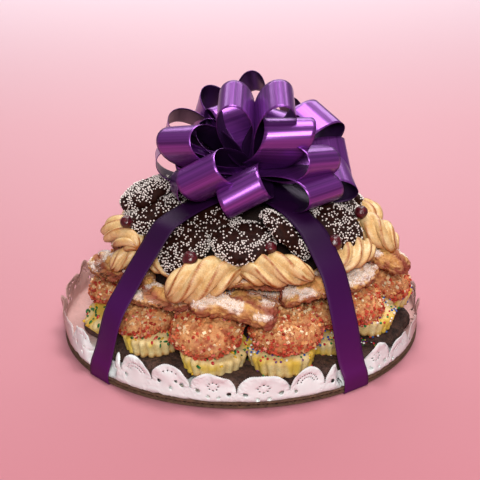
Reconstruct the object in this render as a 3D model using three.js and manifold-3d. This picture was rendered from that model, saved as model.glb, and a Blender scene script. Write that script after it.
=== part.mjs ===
// A tower of mixed bakery cookies on a round cardboard board with a paper lace doily,
// tied crosswise with flat ribbon and topped by a full ribbon bow.
// Millimetres, +Z up, front towards -Y, origin in the middle of the ribbon cross it rests on.
import * as THREE from "three";
import { mergeVertices } from "three/addons/utils/BufferGeometryUtils.js";
import Module from "manifold-3d";

const wasm = await Module();
wasm.setup();

const DEGREE = Math.PI / 180;
const GAP = 0.35; // clearance between neighbouring pieces

// Tie ribbon
const TIE_WIDTH = 24;
const TIE_THICKNESS = 0.6;
const STRAP_TOP = 128; // height where the straps meet on top of the heap
const KNOT_X = 8; // and how far from the middle of the board that is
const KNOT_Y = -6;
const KNOT_SHIFT_FROM = 60; // height above which a strap heads for the knot
const KNOT_SHIFT_TO = 134;

// Board
const BOARD_RADIUS = 152.5; // a 12 inch cake circle
const BOARD_THICKNESS = 4;
const BOARD_SEGMENTS = 56;
const BOARD_BASE = TIE_THICKNESS + GAP;
const BOARD_TOP = BOARD_BASE + BOARD_THICKNESS;

// Doily
const DOILY_PAPER = 0.8;
const DOILY_BASE = BOARD_TOP + GAP;
const DOILY_INNER_RADIUS = 122;
const DOILY_FOLD_RADIUS = 148.4; // where the lace edge turns up
const DOILY_RIM_RADIUS = 151;
const DOILY_SCALLOPS = 28;
const DOILY_COLUMNS_PER_SCALLOP = 3;
const DOILY_NOMINAL_HEIGHT = 10; // height of the ring before its scallops are shaped
const DOILY_PEAK = 35; // height of a scallop above the board
const DOILY_PEAK_VARIATION = 4;
const DOILY_NOTCH = 16; // height between two scallops
const DOILY_LOW_SIDE = { from: 48, full: 60, end: 100, drop: 11 }; // lower lace on the right
const DOILY_PRESSED_HEIGHT = 11; // height left where a strap presses the lace in
const DOILY_PRESSED_DEPTH = 7;
const DOILY_PRESSED_SPAN = { full: 4.5, end: 8 }; // degrees to either side of a strap

// Heap
const HEAP_X = 8; // the heap stands a little to the right of the middle of the board
const HEAP_FLOOR = DOILY_BASE + DOILY_PAPER + GAP;

// Cookies
const COCOA = { radius: 26, height: 13, segments: 12, unevenness: 0.035 };
const BUTTER = { radius: 26, height: 15, flutes: 12, fluteDepth: 0.045 };
const NUT = { radius: 28, height: 21, segments: 12, unevenness: 0.05 };
const NONPAREIL = { radius: 24.5, height: 12, segments: 12, unevenness: 0.03 };
const PASTRY = { length: 58, width: 27, height: 16, around: 8, rings: 5, fold: 0.12, slant: 0.35 };
const SPRITZ = { length: 60, width: 29, height: 20, ridges: 4, rings: 6, ridgeDepth: 0.17 };
const SPRITZ_TWIST = 150; // degrees from end to end
const SPRITZ_TAPER = 0.16;
const LONG_BODY = { arch: 0.62, lift: 0.36 }; // shares of the height above and below the middle
const CHERRY = { radius: 7, around: 7, rings: 4 };

// Bow
const BOW_RIBBON_WIDTH = 36;
const BOW_RIBBON_THICKNESS = 0.6;
const BOW_KNOT_RADIUS = 11;
const BOW_X = 9;
const BOW_Y = -8;
const BOW_Z = 140;
const BOW_STEPS = 6; // straight stretches in one loop
const BOW_NECK = 0.12; // width of the ribbon at the knot, as a share of its full width
const BOW_FLARE = 0.9; // share of the loop's length over which the ribbon opens to its full width
const LOOP_START = 0.3; // radians of a loop's round that the knot hides at each end
const LOOP_BLUNTNESS = 0.8; // below 1 the far end is rounder
const LOOP_GAP_SHARE = 0.65; // makes the widest opening of a loop equal to its gap

// Middle of the heap: hidden behind the front cookies, and out to the full uneven outline at the
// back. Each level holds its height, inner radius and outer radius.
const CORE_LEVELS = [
  [0, 74, 128],
  [9, 76, 135],
  [19, 76, 128],
  [29, 75, 133],
  [39, 74, 125],
  [49, 72, 130],
  [60, 70, 118],
  [70, 66, 120],
  [80, 60, 106],
  [90, 52, 102],
  [100, 40, 82],
  [110, 24, 54],
];
const CORE_TOP = 116;
const CORE_SEGMENTS = 28;
const CORE_BULGE = { share: 0.035, count: 9, turn: 2.1 };
const CORE_FRONT = 94; // degrees from the front over which cookies cover the middle
const CORE_BACK = 108; // degrees from the front where the full outline is reached

const COLOUR = {
  board: 0x6b4a35,
  doily: 0xf4eef0,
  tie: 0x3d1a5c,
  bow: 0x4a1f73,
  heap: 0x5a3420,
  cocoa: 0x4b2c20,
  butter: 0xe4c46e,
  nut: 0xcf7a4c,
  pastry: 0xd6a06a,
  spritz: 0xe0b271,
  nonpareil: 0x2e1a16,
  cherry: 0x6e0f16,
};

// Every cookie: kind, bearing from the front (degrees, plus to the right), reach of the middle of
// its base from the heap's axis, height of that point above the heap's floor, lean of its top
// outwards, turn of that lean to the right, spin about its own axis, size.
const COOKIES = [
  ["cocoa", -101, 110, 0, 0, 0, 0, 1],
  ["cocoa", -34, 115, 0, 0, 0, 20, 1],
  ["cocoa", -6, 117, 0, 0, 0, 50, 1.06],
  ["cocoa", 22, 115, 0, 0, 0, 10, 1.04],
  ["cocoa", 63, 111, 10, 24, 0, 0, 1.05],
  ["cocoa", 99, 108, 0, 0, 0, 30, 1],
  ["cocoa", -78, 120, 0, 0, 0, 40, 0.92],
  ["cocoa", 79, 115, 0, 0, 0, 70, 0.9],

  ["butter", -74, 117, 14, 34, 0, 0, 0.96],
  ["butter", -44, 112, 14, 4, 0, 10, 0.98],
  ["butter", -15, 113, 13, 8, 15, 0, 1.04],
  ["butter", 12, 113, 14, 8, -30, 5, 1.07],
  ["butter", 35, 104, 14, 4, 0, 0, 0.85],
  ["butter", 46, 122, 3, 12, 0, 0, 0.5],
  ["butter", 56, 111, 24, 12, -25, 0, 0.98],
  ["butter", 80, 114, 23, 8, 0, 8, 0.95],

  ["nut", -84, 111, 32, 26, 0, 0, 0.9],
  ["nut", -50, 107, 29, 14, 0, 0, 0.97],
  ["nut", -17.5, 112, 34, 20, 0, 40, 1.03],
  ["nut", 14, 113, 34, 9, -20, 80, 0.99],
  ["nut", 36, 91, 34, 10, 0, 0, 0.82],
  ["nut", 50, 107, 41, 32, 0, 0, 0.86],
  ["nut", 76, 110, 40, 24, 0, 0, 0.96],

  ["pastry", -78, 118, 55, 18, 0, 20, 0.95],
  ["pastry", -56, 104, 59, 16, 0, -20, 0.85],
  ["pastry", -37, 111, 55, 22, 0, 0, 0.9],
  ["pastry", -8, 112, 58, 16, 0, -14, 1.3],
  ["pastry", 4, 93, 71, 4, 0, 0, 0.9],
  ["pastry", 26, 104, 66, 26, -20, 25, 0.95],
  ["pastry", 70, 114, 66, 8, 0, 60, 0.98],
  ["pastry", 54, 106, 61, 10, 0, 0, 0.95],

  ["spritz", -73, 107, 84, 16, 0, 10, 0.95],
  ["spritz", -88, 86, 82, 8, 0, 0, 0.9],
  ["spritz", -63, 104, 70, 18, 0, 60, 0.75],
  ["spritz", -44, 93, 72, 8, 0, 0, 0.75],
  ["spritz", -19, 104, 73, 32, 0, 28, 1.12],
  ["spritz", 11, 102, 80, 20, 0, -14, 1],
  ["spritz", 52, 102, 77, 8, 0, 0, 0.98],
  ["spritz", 75, 101, 82, 20, 0, 70, 0.98],

  ["nonpareil", -85, 84, 112, 28, 0, 0, 0.96],
  ["nonpareil", -74, 89, 99, 34, 0, 0, 0.96],
  ["nonpareil", -66, 58, 108, 12, 0, 0, 0.86],
  ["nonpareil", -38, 85, 89, 46, 0, 0, 0.9],
  ["nonpareil", -30, 56, 105, 18, 0, 0, 0.92],
  ["nonpareil", -4, 80, 97, 14, 0, 0, 1.06],
  ["nonpareil", 19, 76, 100, 46, 80, 0, 1],
  ["nonpareil", 54, 84, 97, 34, 0, 0, 1],
  ["nonpareil", 80, 70, 101, 22, 0, 0, 0.96],
];

// Loose candied cherries: bearing, reach and height of the middle, size.
const CHERRIES = [
  [-66, 108, 104, 0.85],
  [-26, 105, 93, 0.9],
  [9, 96, 101, 0.8],
  [42, 99, 96, 0.8],
  [71, 96, 105, 0.85],
];

// The straps: bearing, and the run over the heap as distance from the middle of the board and height.
const STRAPS = [
  {
    bearing: -47.5,
    run: [[148.5, 20], [137, 50], [121, 72], [107, 93], [95, 110], [84, 118], [50, 126]],
  },
  {
    bearing: 35.5,
    run: [[147, 22], [137, 54], [128, 75], [115, 92], [98, 106], [80, 116], [48, 125]],
  },
  {
    bearing: 132.5,
    run: [[150, 26], [144, 54], [136, 76], [122, 98], [104, 112], [80, 119], [46, 125]],
  },
  {
    bearing: -144.5,
    run: [[149, 26], [141, 54], [130, 76], [116, 98], [98, 111], [76, 118], [44, 125]],
  },
];

// The bow's loops: bearing, rise, length, gap between its two sides, bank (turn of the ribbon's
// width about the loop's direction) and skew (how much further one edge reaches than the other).
const LOOPS = [
  [174, 54, 80, 25, 88, 0.1],
  [-30, 68, 79, 28, 115, 0],
  [45, 62, 83, 29, 50, 0],
  [116, 26, 86, 28, 22, 0],
  [38, 45, 72, 30, -28, 0.5],
  [-68, 31, 76, 30, 26, -0.3],
  [-36, 13, 73, 30, 34, -0.2],
  [-5, 1, 67, 28, 26, -0.2],
  [50, -3, 78, 27, 2, 0.2],
  [54, 18, 76, 27, -13, 0.15],
  [100, 3, 84, 24, 50, 0],
  [86, -3, 84, 25, 22, -0.3],
  [-100, 6, 80, 28, 8, -0.25],
  [-121, 23, 86, 26, 48, -0.3],
  [-142, 38, 80, 26, 78, 0],
  [152, 30, 82, 27, -36, 0.3],
  [178, 8, 84, 28, 0, 0],
  [-140, 3, 82, 27, 24, 0],
];

function colouredMaterial(colour, roughness) {
  return new THREE.MeshStandardMaterial({ color: colour, roughness, metalness: 0 });
}

function namedMesh(name, geometry, colour, roughness) {
  const mesh = new THREE.Mesh(geometry, colouredMaterial(colour, roughness));
  mesh.name = name;
  return mesh;
}

// Moves every point of a shape by a rule.
function reshaped(geometry, rule) {
  const position = geometry.getAttribute("position");
  const point = new THREE.Vector3();
  for (let i = 0; i < position.count; i += 1) {
    point.fromBufferAttribute(position, i);
    rule(point);
    position.setXYZ(i, point.x, point.y, point.z);
  }
  return geometry;
}

// A profile of [radius, height] pairs turned about the upright axis.
function turned(profile, segments) {
  const points = profile.map(([radius, height]) => new THREE.Vector2(radius, height));
  return new THREE.LatheGeometry(points, segments).rotateX(Math.PI / 2);
}

// Smooth unevenness between -1 and 1, different for every seed.
function unevenness(angle, height, seed) {
  const first = Math.sin(3 * angle + 1.7 * seed + 0.21 * height);
  const second = Math.sin(5 * angle - 2.3 * seed + 0.34 * height);
  return 0.6 * first + 0.4 * second;
}

// Makes a round shape a little uneven round its edge.
function unevenRound(geometry, share, seed) {
  return reshaped(geometry, (point) => {
    const angle = Math.atan2(point.y, point.x);
    const stretch = 1 + share * unevenness(angle, point.z, seed);
    point.x *= stretch;
    point.y *= stretch;
  });
}

// Fixed irregular numbers between 0 and 1.
function scatter(index) {
  const value = Math.sin(index * 12.9898 + 4.1) * 43758.5453;
  return value - Math.floor(value);
}

function cocoaForm(seed) {
  const { radius, height, segments } = COCOA;
  const profile = [
    [0, 0],
    [radius * 0.9, 0],
    [radius, height * 0.38],
    [radius * 0.84, height * 0.84],
    [0, height],
  ];
  return unevenRound(turned(profile, segments), COCOA.unevenness, seed);
}

function butterForm() {
  const { radius, height, flutes, fluteDepth } = BUTTER;
  const profile = [
    [0, 0],
    [radius * 0.94, 0],
    [radius, height * 0.42],
    [radius * 0.93, height * 0.88],
    [0, height],
  ];
  return reshaped(turned(profile, flutes * 2), (point) => {
    const angle = Math.atan2(point.y, point.x);
    const flute = 1 + fluteDepth * Math.cos(flutes * angle);
    point.x *= flute;
    point.y *= flute;
  });
}

function nutForm(seed) {
  const { radius, height, segments } = NUT;
  const profile = [
    [0, 0],
    [radius * 0.86, 0],
    [radius, height * 0.28],
    [radius * 0.92, height * 0.6],
    [radius * 0.62, height * 0.9],
    [0, height],
  ];
  return unevenRound(turned(profile, segments), NUT.unevenness, seed);
}

function nonpareilForm(seed) {
  const { radius, height, segments } = NONPAREIL;
  const profile = [
    [0, 0],
    [radius * 0.93, 0],
    [radius, height * 0.35],
    [radius * 0.72, height * 0.84],
    [0, height],
  ];
  return unevenRound(turned(profile, segments), NONPAREIL.unevenness, seed);
}

// A lens-shaped body along X whose underside is pressed flat at height 0.
function longBody({ length, width, height, rings }, around, radiusAt) {
  const ball = new THREE.SphereGeometry(1, around, rings).rotateZ(-Math.PI / 2);
  return reshaped(ball, (point) => {
    const along = Math.max(-1, Math.min(1, point.x));
    const angle = Math.atan2(point.z, point.y);
    const slope = Math.hypot(point.y, point.z);
    const reach = slope * radiusAt(along, angle);
    point.x = (along * length) / 2;
    point.y = (Math.cos(angle) * reach * width) / 2;
    const arch = Math.sin(angle) * reach * height * LONG_BODY.arch;
    point.z = Math.max(0, arch + slope * height * LONG_BODY.lift);
  });
}

// Dough folded over a filling: broad, with blunt slanting ends and one raised fold.
function pastryForm(seed) {
  const body = longBody(PASTRY, PASTRY.around, (along, angle) => {
    const fold = PASTRY.fold * Math.cos(angle - 1.2 - 1.4 * along);
    return 1 + fold + 0.04 * unevenness(angle, 20 * along, seed);
  });
  return reshaped(body, (point) => {
    point.x += point.y * PASTRY.slant;
  });
}

// Piped dough: ridges winding round a body that tapers to one end.
function spritzForm(seed) {
  const { ridges, ridgeDepth } = SPRITZ;
  return longBody(SPRITZ, ridges * 3, (along, angle) => {
    const turn = (along * SPRITZ_TWIST * DEGREE) / 2;
    const ridge = ridgeDepth * Math.cos(ridges * (angle + turn) + seed);
    return 1 - SPRITZ_TAPER * along + ridge;
  });
}

const FORMS = {
  cocoa: cocoaForm,
  butter: butterForm,
  nut: nutForm,
  nonpareil: nonpareilForm,
  pastry: pastryForm,
  spritz: spritzForm,
};

// The point at a bearing and a reach from the heap's axis.
function heapPoint(bearing, reach, height) {
  const angle = bearing * DEGREE;
  return new THREE.Vector3(
    HEAP_X + reach * Math.sin(angle),
    -reach * Math.cos(angle),
    HEAP_FLOOR + height,
  );
}

function cookieMeshes() {
  const counts = {};
  return COOKIES.map(([kind, bearing, reach, height, lean, turn, spin, size], index) => {
    counts[kind] = (counts[kind] ?? 0) + 1;
    const geometry = FORMS[kind](index);
    geometry.rotateZ(spin * DEGREE);
    geometry.scale(size, size, size);
    const mesh = namedMesh(`${kind}_${counts[kind]}`, geometry, COLOUR[kind], 0.7);
    mesh.position.copy(heapPoint(bearing, reach, height));
    mesh.rotation.set(lean * DEGREE, 0, (bearing + turn) * DEGREE, "ZXY");
    return mesh;
  });
}

function cherryMeshes() {
  return CHERRIES.map(([bearing, reach, height, size], index) => {
    const { radius, around, rings } = CHERRY;
    const geometry = new THREE.SphereGeometry(radius * size, around, rings);
    const mesh = namedMesh(`cherry_${index + 1}`, geometry, COLOUR.cherry, 0.25);
    mesh.position.copy(heapPoint(bearing, reach, height));
    return mesh;
  });
}

function boardMesh() {
  const profile = [
    [0, 0],
    [BOARD_RADIUS, 0],
    [BOARD_RADIUS, BOARD_THICKNESS],
    [0, BOARD_THICKNESS],
  ];
  const mesh = namedMesh("board", turned(profile, BOARD_SEGMENTS), COLOUR.board, 0.9);
  mesh.position.z = BOARD_BASE;
  return mesh;
}

function degreesApart(bearing, other) {
  return Math.abs(((bearing - other + 540) % 360) - 180);
}

// How strongly a strap presses on the lace at a bearing, from 0 to 1.
function strapPressure(bearing) {
  const nearest = Math.min(...STRAPS.map((strap) => degreesApart(bearing, strap.bearing)));
  return 1 - THREE.MathUtils.smoothstep(nearest, DOILY_PRESSED_SPAN.full, DOILY_PRESSED_SPAN.end);
}

// How much lower the lace stands at a bearing.
function loweredLace(bearing) {
  const { from, full, end, drop } = DOILY_LOW_SIDE;
  const rise = THREE.MathUtils.smoothstep(bearing, from, full);
  const fall = THREE.MathUtils.smoothstep(bearing, end, end + full - from);
  return drop * (rise - fall);
}

function doilyMesh() {
  const profile = [
    [DOILY_INNER_RADIUS, 0],
    [DOILY_FOLD_RADIUS, 0],
    [DOILY_RIM_RADIUS, DOILY_NOMINAL_HEIGHT],
    [DOILY_RIM_RADIUS - DOILY_PAPER, DOILY_NOMINAL_HEIGHT],
    [DOILY_FOLD_RADIUS - DOILY_PAPER, DOILY_PAPER],
    [DOILY_INNER_RADIUS, DOILY_PAPER],
    [DOILY_INNER_RADIUS, 0],
  ];
  const ring = turned(profile, DOILY_SCALLOPS * DOILY_COLUMNS_PER_SCALLOP);
  reshaped(ring, (point) => {
    if (point.z < DOILY_NOMINAL_HEIGHT / 2) {
      return;
    }
    const angle = Math.atan2(point.y, point.x);
    const bearing = angle / DEGREE + 90;
    const position = (angle / (2 * Math.PI)) * DOILY_SCALLOPS + DOILY_SCALLOPS;
    const scallop = Math.floor(position + 0.001) % DOILY_SCALLOPS;
    const swell = Math.sqrt(Math.abs(Math.sin(Math.PI * position)));
    const peak = DOILY_PEAK - DOILY_PEAK_VARIATION * scatter(scallop) - loweredLace(bearing);
    const free = DOILY_NOTCH + (peak - DOILY_NOTCH) * swell;
    const pressure = strapPressure(bearing);
    const radius = Math.hypot(point.x, point.y) - DOILY_PRESSED_DEPTH * pressure;
    const height = free + (Math.min(free, DOILY_PRESSED_HEIGHT) - free) * pressure;
    point.set(Math.cos(angle) * radius, Math.sin(angle) * radius, height);
  });
  const mesh = namedMesh("doily", ring, COLOUR.doily, 0.85);
  mesh.position.z = DOILY_BASE;
  return mesh;
}

// A flat strip bent so that each of its cross-sections sits at one station.
// A station holds the middle point, the direction across, the direction it faces and the width.
function ribbonStrip(stations, thickness) {
  const steps = stations.length - 1;
  const bar = new THREE.BoxGeometry(1, 1, steps, 1, 1, steps);
  return reshaped(bar, (point) => {
    const station = stations[Math.round(point.z + steps / 2)];
    const sideways = point.x * station.width;
    const outwards = point.y * thickness;
    point.copy(station.middle);
    point.addScaledVector(station.across, sideways);
    point.addScaledVector(station.facing, outwards);
  });
}

// Stations along a run of points, each facing square to the run.
function stationsAlong(points, across, width) {
  return points.map((middle, index) => {
    const before = points[Math.max(0, index - 1)];
    const after = points[Math.min(points.length - 1, index + 1)];
    const along = new THREE.Vector3().subVectors(after, before).normalize();
    const facing = new THREE.Vector3().crossVectors(along, across).normalize();
    return { middle, across, facing, width };
  });
}

function solidFrom(geometry) {
  const bare = geometry.clone();
  bare.deleteAttribute("normal");
  bare.deleteAttribute("uv");
  const merged = mergeVertices(bare, 1e-3);
  return new wasm.Manifold(
    new wasm.Mesh({
      numProp: 3,
      vertProperties: new Float32Array(merged.attributes.position.array),
      triVerts: new Uint32Array(merged.index.array),
    }),
  );
}

function geometryFrom(solid) {
  const { vertProperties, triVerts } = solid.getMesh();
  const geometry = new THREE.BufferGeometry();
  geometry.setAttribute("position", new THREE.BufferAttribute(vertProperties, 3));
  geometry.setIndex(new THREE.BufferAttribute(triVerts, 1));
  return geometry;
}

// The outer body of a solid: closed hollows inside it are filled, and loose slivers dropped.
function outerBody(solid) {
  return solid.decompose().sort((a, b) => b.volume() - a.volume())[0];
}

function joined(geometries) {
  const solids = geometries.map(solidFrom);
  return geometryFrom(outerBody(solids.reduce((sum, solid) => sum.add(solid))));
}

// One strap from the middle of the underside, round the board's edge and up over the heap,
// with some clearance added on every side.
function strapGeometry({ bearing, run }, clearance) {
  const angle = bearing * DEGREE;
  const across = new THREE.Vector3(Math.cos(angle), Math.sin(angle), 0);
  const half = TIE_THICKNESS / 2;
  const outline = [
    [0, half],
    [BOARD_RADIUS * 0.6, half],
    [BOARD_RADIUS - 1, half],
    [BOARD_RADIUS + 0.9, 1.1],
    [BOARD_RADIUS + 0.9, BOARD_BASE + BOARD_THICKNESS * 0.75],
    [BOARD_RADIUS - 0.9, BOARD_BASE + BOARD_THICKNESS * 2.75],
    ...run,
    [0, STRAP_TOP],
  ];
  const points = outline.map(([reach, height]) => {
    const share = THREE.MathUtils.smoothstep(height, KNOT_SHIFT_FROM, KNOT_SHIFT_TO);
    return new THREE.Vector3(
      reach * Math.sin(angle) + share * KNOT_X,
      -reach * Math.cos(angle) + share * KNOT_Y,
      height,
    );
  });
  const stations = stationsAlong(points, across, TIE_WIDTH + 2 * clearance);
  return ribbonStrip(stations, TIE_THICKNESS + 2 * clearance);
}

function tieGeometry(clearance) {
  return joined(STRAPS.map((strap) => strapGeometry(strap, clearance)));
}

function tieMesh() {
  return namedMesh("ribbon_tie", tieGeometry(0), COLOUR.tie, 0.35);
}

// One loop of the bow: a teardrop of ribbon that leaves the knot and comes back to it.
function loopGeometry([bearing, rise, length, gap, bank, skew]) {
  const turn = bearing * DEGREE;
  const climb = rise * DEGREE;
  const outwards = new THREE.Vector3(
    Math.sin(turn) * Math.cos(climb),
    -Math.cos(turn) * Math.cos(climb),
    Math.sin(climb),
  );
  const level = new THREE.Vector3(Math.cos(turn), Math.sin(turn), 0);
  const width = level.applyAxisAngle(outwards, bank * DEGREE);
  const side = new THREE.Vector3().crossVectors(outwards, width);
  const knot = new THREE.Vector3(BOW_X, BOW_Y, BOW_Z);
  const stations = [];
  for (let step = 0; step <= BOW_STEPS; step += 1) {
    const phase = THREE.MathUtils.lerp(LOOP_START, 2 * Math.PI - LOOP_START, step / BOW_STEPS);
    const reach = ((1 - Math.cos(phase)) / 2) ** LOOP_BLUNTNESS;
    const offset = -gap * LOOP_GAP_SHARE * Math.sin(phase) * Math.sin(phase / 2);
    const middle = knot.clone();
    middle.addScaledVector(outwards, reach * length);
    middle.addScaledVector(side, offset);
    const across = width.clone().addScaledVector(outwards, skew * reach);
    const open = THREE.MathUtils.smoothstep(reach, 0, BOW_FLARE);
    const share = THREE.MathUtils.lerp(BOW_NECK, 1, open);
    stations.push({ middle, across, width: BOW_RIBBON_WIDTH * share });
  }
  stations.forEach((station, index) => {
    const before = stations[Math.max(0, index - 1)].middle;
    const after = stations[Math.min(stations.length - 1, index + 1)].middle;
    const along = new THREE.Vector3().subVectors(after, before);
    station.facing = new THREE.Vector3().crossVectors(along, station.across).normalize();
  });
  return ribbonStrip(stations, BOW_RIBBON_THICKNESS);
}

function bowMesh() {
  const knot = new THREE.SphereGeometry(BOW_KNOT_RADIUS, 12, 8);
  knot.translate(BOW_X, BOW_Y, BOW_Z);
  const loops = LOOPS.map(loopGeometry);
  return namedMesh("bow", joined([knot, ...loops]), COLOUR.bow, 0.25);
}

function heapCoreMesh() {
  const profile = [[0, 0]];
  CORE_LEVELS.forEach(([height], level) => profile.push([level + 1, height]));
  profile.push([0, CORE_TOP]);
  const body = turned(profile, CORE_SEGMENTS);
  reshaped(body, (point) => {
    const level = Math.round(Math.hypot(point.x, point.y)) - 1;
    if (level < 0) {
      return;
    }
    const angle = Math.atan2(point.y, point.x);
    const fromFront = degreesApart(angle / DEGREE + 90, 0);
    const [height, inner, outer] = CORE_LEVELS[level];
    const wave = Math.cos(CORE_BULGE.count * angle + CORE_BULGE.turn * level);
    const full = outer * (1 + CORE_BULGE.share * wave);
    const share = THREE.MathUtils.smoothstep(fromFront, CORE_FRONT, CORE_BACK);
    const radius = THREE.MathUtils.lerp(inner, full, share);
    point.set(Math.cos(angle) * radius, Math.sin(angle) * radius, height);
  });
  const mesh = namedMesh("heap_core", body, COLOUR.heap, 0.8);
  mesh.position.set(HEAP_X, 0, HEAP_FLOOR);
  return mesh;
}

// A mesh's solid scaled up about its middle by the gap on every side.
function grownSolid(mesh, box) {
  const size = box.getSize(new THREE.Vector3());
  const middle = box.getCenter(new THREE.Vector3());
  const growth = new THREE.Vector3(
    1 + (2 * GAP) / size.x,
    1 + (2 * GAP) / size.y,
    1 + (2 * GAP) / size.z,
  );
  const geometry = mesh.geometry.clone().applyMatrix4(mesh.matrixWorld);
  geometry.translate(-middle.x, -middle.y, -middle.z);
  geometry.scale(growth.x, growth.y, growth.z);
  geometry.translate(middle.x, middle.y, middle.z);
  return solidFrom(geometry);
}

// Takes the grown shapes of the ribbon and of the neighbours that are already in place out of
// each new piece.
function fittedTogether(meshes) {
  const tie = tieGeometry(GAP);
  tie.computeBoundingBox();
  const placed = [{ box: tie.boundingBox, grown: solidFrom(tie) }];
  for (const mesh of meshes) {
    mesh.updateMatrixWorld(true);
    const own = solidFrom(mesh.geometry.clone().applyMatrix4(mesh.matrixWorld));
    let left = own;
    const box = new THREE.Box3().setFromObject(mesh);
    for (const neighbour of placed) {
      if (neighbour.box.intersectsBox(box)) {
        left = left.subtract(neighbour.grown);
      }
    }
    if (left.volume() < own.volume() - 0.001) {
      mesh.geometry = geometryFrom(outerBody(left));
      mesh.geometry.applyMatrix4(mesh.matrixWorld.clone().invert());
    }
    placed.push({ box: box.clone().expandByScalar(GAP), grown: grownSolid(mesh, box) });
  }
  return meshes;
}

const group = new THREE.Group();
group.add(boardMesh());
group.add(doilyMesh());
group.add(tieMesh());
group.add(bowMesh());
for (const mesh of fittedTogether([...cookieMeshes(), ...cherryMeshes(), heapCoreMesh()])) {
  group.add(mesh);
}

export default group;
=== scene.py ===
"""A tower of mixed bakery cookies on a round board with a paper lace doily, tied with flat
ribbon and topped by a full bow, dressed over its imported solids.

Lengths are in millimetres until a piece is made, and angles in degrees. Bearings run from the
front (-Y), plus to the right (+X).
"""
import collections
import itertools
import math

import bpy
import numpy as np
from mathutils import Matrix, Vector
from mathutils.geometry import delaunay_2d_cdt


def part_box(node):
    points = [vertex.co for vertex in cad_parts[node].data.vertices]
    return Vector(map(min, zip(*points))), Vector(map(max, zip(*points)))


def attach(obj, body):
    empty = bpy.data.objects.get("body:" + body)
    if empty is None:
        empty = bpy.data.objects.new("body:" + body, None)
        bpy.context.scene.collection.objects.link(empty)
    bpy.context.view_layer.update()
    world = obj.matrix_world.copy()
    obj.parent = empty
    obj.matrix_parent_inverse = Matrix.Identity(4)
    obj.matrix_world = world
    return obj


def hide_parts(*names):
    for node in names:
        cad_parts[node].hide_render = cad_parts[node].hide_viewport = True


METRE = 1000.0
TAU = 2 * math.pi

# Camera: where it stands, how far it looks down and how little it is turned.
CAMERA_PLACE = (0.1, -894.3, 445.0)
CAMERA_DOWN = 22.44
CAMERA_TURN = -0.78
CAMERA_LENS = 85.0
CAMERA_SENSOR = 36.0

# Heap: how far right of the board's middle it stands, and how high its floor is.
HEAP_X = 8.0
HEAP_FLOOR = 6.45

# Board: two liners and the wavy layer between them.
BOARD_RADIUS = 152.5
BOARD_BASE = 0.95
BOARD_TOP = 4.95
BOARD_LINER = 0.7
FLUTE_PITCH = 7.0
BOARD_SEGMENTS = 180

# Doily: flat from its inner edge to the fold, then standing in scallops.
PAPER = 0.22
DOILY_BASE = 5.35
DOILY_INNER = 112.0
DOILY_FOLD = 150.6
DOILY_BEND = 1.4
DOILY_RIM = 158.5
SCALLOPS = 28
SCALLOP_HEIGHT = 33.0
SCALLOP_RADIUS = 16.9
SCALLOP_CENTRE = 15.4
SCALLOP_TEETH = 34
# The scallops aren't even: where the edges between them come to lie, by bearing.
LACE_EVEN = [-180, -38.6, -25.7, -12.9, 0, 12.9, 25.7, 38.6, 51.4, 180]
LACE_LAID = [-180, -38.0, -26.8, -14.9, -1.5, 13.8, 24.5, 37.5, 50.5, 180]
# How tall they stand and how far they lean out, by bearing.
LACE_STAND = [
    (-180, 0.85), (-118, 0.85), (-102, 1.04), (-90, 0.8), (-60, 0.92), (-33, 0.88), (-21, 0.9), (-9, 0.8),
    (6, 0.74), (20, 0.8), (33, 0.72), (44, 0.85), (56, 0.66), (95, 0.6), (115, 0.85), (180, 0.85),
]
LACE_LEAN = [
    (-180, 0), (-110, -3), (-100, -6), (-78, 4), (-62, 3), (-40, -1), (-21, 1.5), (-6, 3.5), (8, 4),
    (22, 1.5), (40, 0), (60, 2), (180, 0),
]
# How low and how far in the ribbon presses it.
LACE_PRESSED_HEIGHT = 11.0
LACE_PRESSED_DEPTH = 7.0
# Slow, middling and quick waves of the standing lace: size, seed and depth.
LACE_WAVES = [(24, 3, 2.4), (10, 5, 2.3), (5, 6, 0.9)]
LACE_GRID = 1.9
LACE_EDGE_STEP = 2.4
LACE_JITTER = 0.25
TOOTH_DEPTH = 0.45

# Ribbon tie
TIE_WIDTH = 24.0
TIE_THICKNESS = 0.4
TIE_TOP = 128.0
TIE_CROWN = 0.5
TIE_UNDER = 0.3
# How a strap goes round the rim of the board: distance past the rim and height.
STRAP_ROUND_RIM = [(0.2, TIE_UNDER), (0.7, 0.8), (0.7, 7), (-0.9, 13)]
STRAP_SAMPLES = 140
# A free strap's waves: depth, length and twist.
STRAP_WAVE = 0.9
STRAP_WAVE_LENGTH = 24.0
STRAP_TWIST = 0.1
KNOT = (8.0, -6.0)
# Each strap: its bearing, and its way up the heap as (distance from the axis, height).
STRAPS = {
    "front_left": (-47.5, [(148.5, 20), (137, 50), (121, 72), (107, 93), (95, 110), (84, 118), (50, 126)]),
    "front_right": (35.5, [(147, 22), (137, 54), (128, 75), (115, 92), (98, 106), (80, 116), (48, 125)]),
    "back_right": (132.5, [(150, 26), (144, 54), (136, 76), (122, 98), (104, 112), (80, 119), (46, 125)]),
    "back_left": (-144.5, [(149, 26), (141, 54), (130, 76), (116, 98), (98, 111), (76, 118), (44, 125)]),
}

# Bow
BOW_MIDDLE = (9.0, -8.0, 140.0)
BOW_WIDTH = 36.0
BOW_FILM = 0.35
# At the knot: the share of its width that a loop keeps, how far out it reaches its full width,
# and how deeply it cups there.
BOW_NECK = 0.5
BOW_FLARE = 0.4
BOW_CUP = 0.2
# Fine waves across the film, one after another along its run; they also stripe its colour lighter and darker
# as painted sheen.
FILM_WAVE = 3.0
FILM_WAVE_DEPTH = 0.12
# The form of a loop: where on its round it starts, how blunt its end is, how wide it gapes.
LOOP_START = 0.3
LOOP_BLUNTNESS = 0.8
LOOP_GAP_SHARE = 0.65
LOOP_SAMPLES, LOOP_COLUMNS = 64, 13
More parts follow.
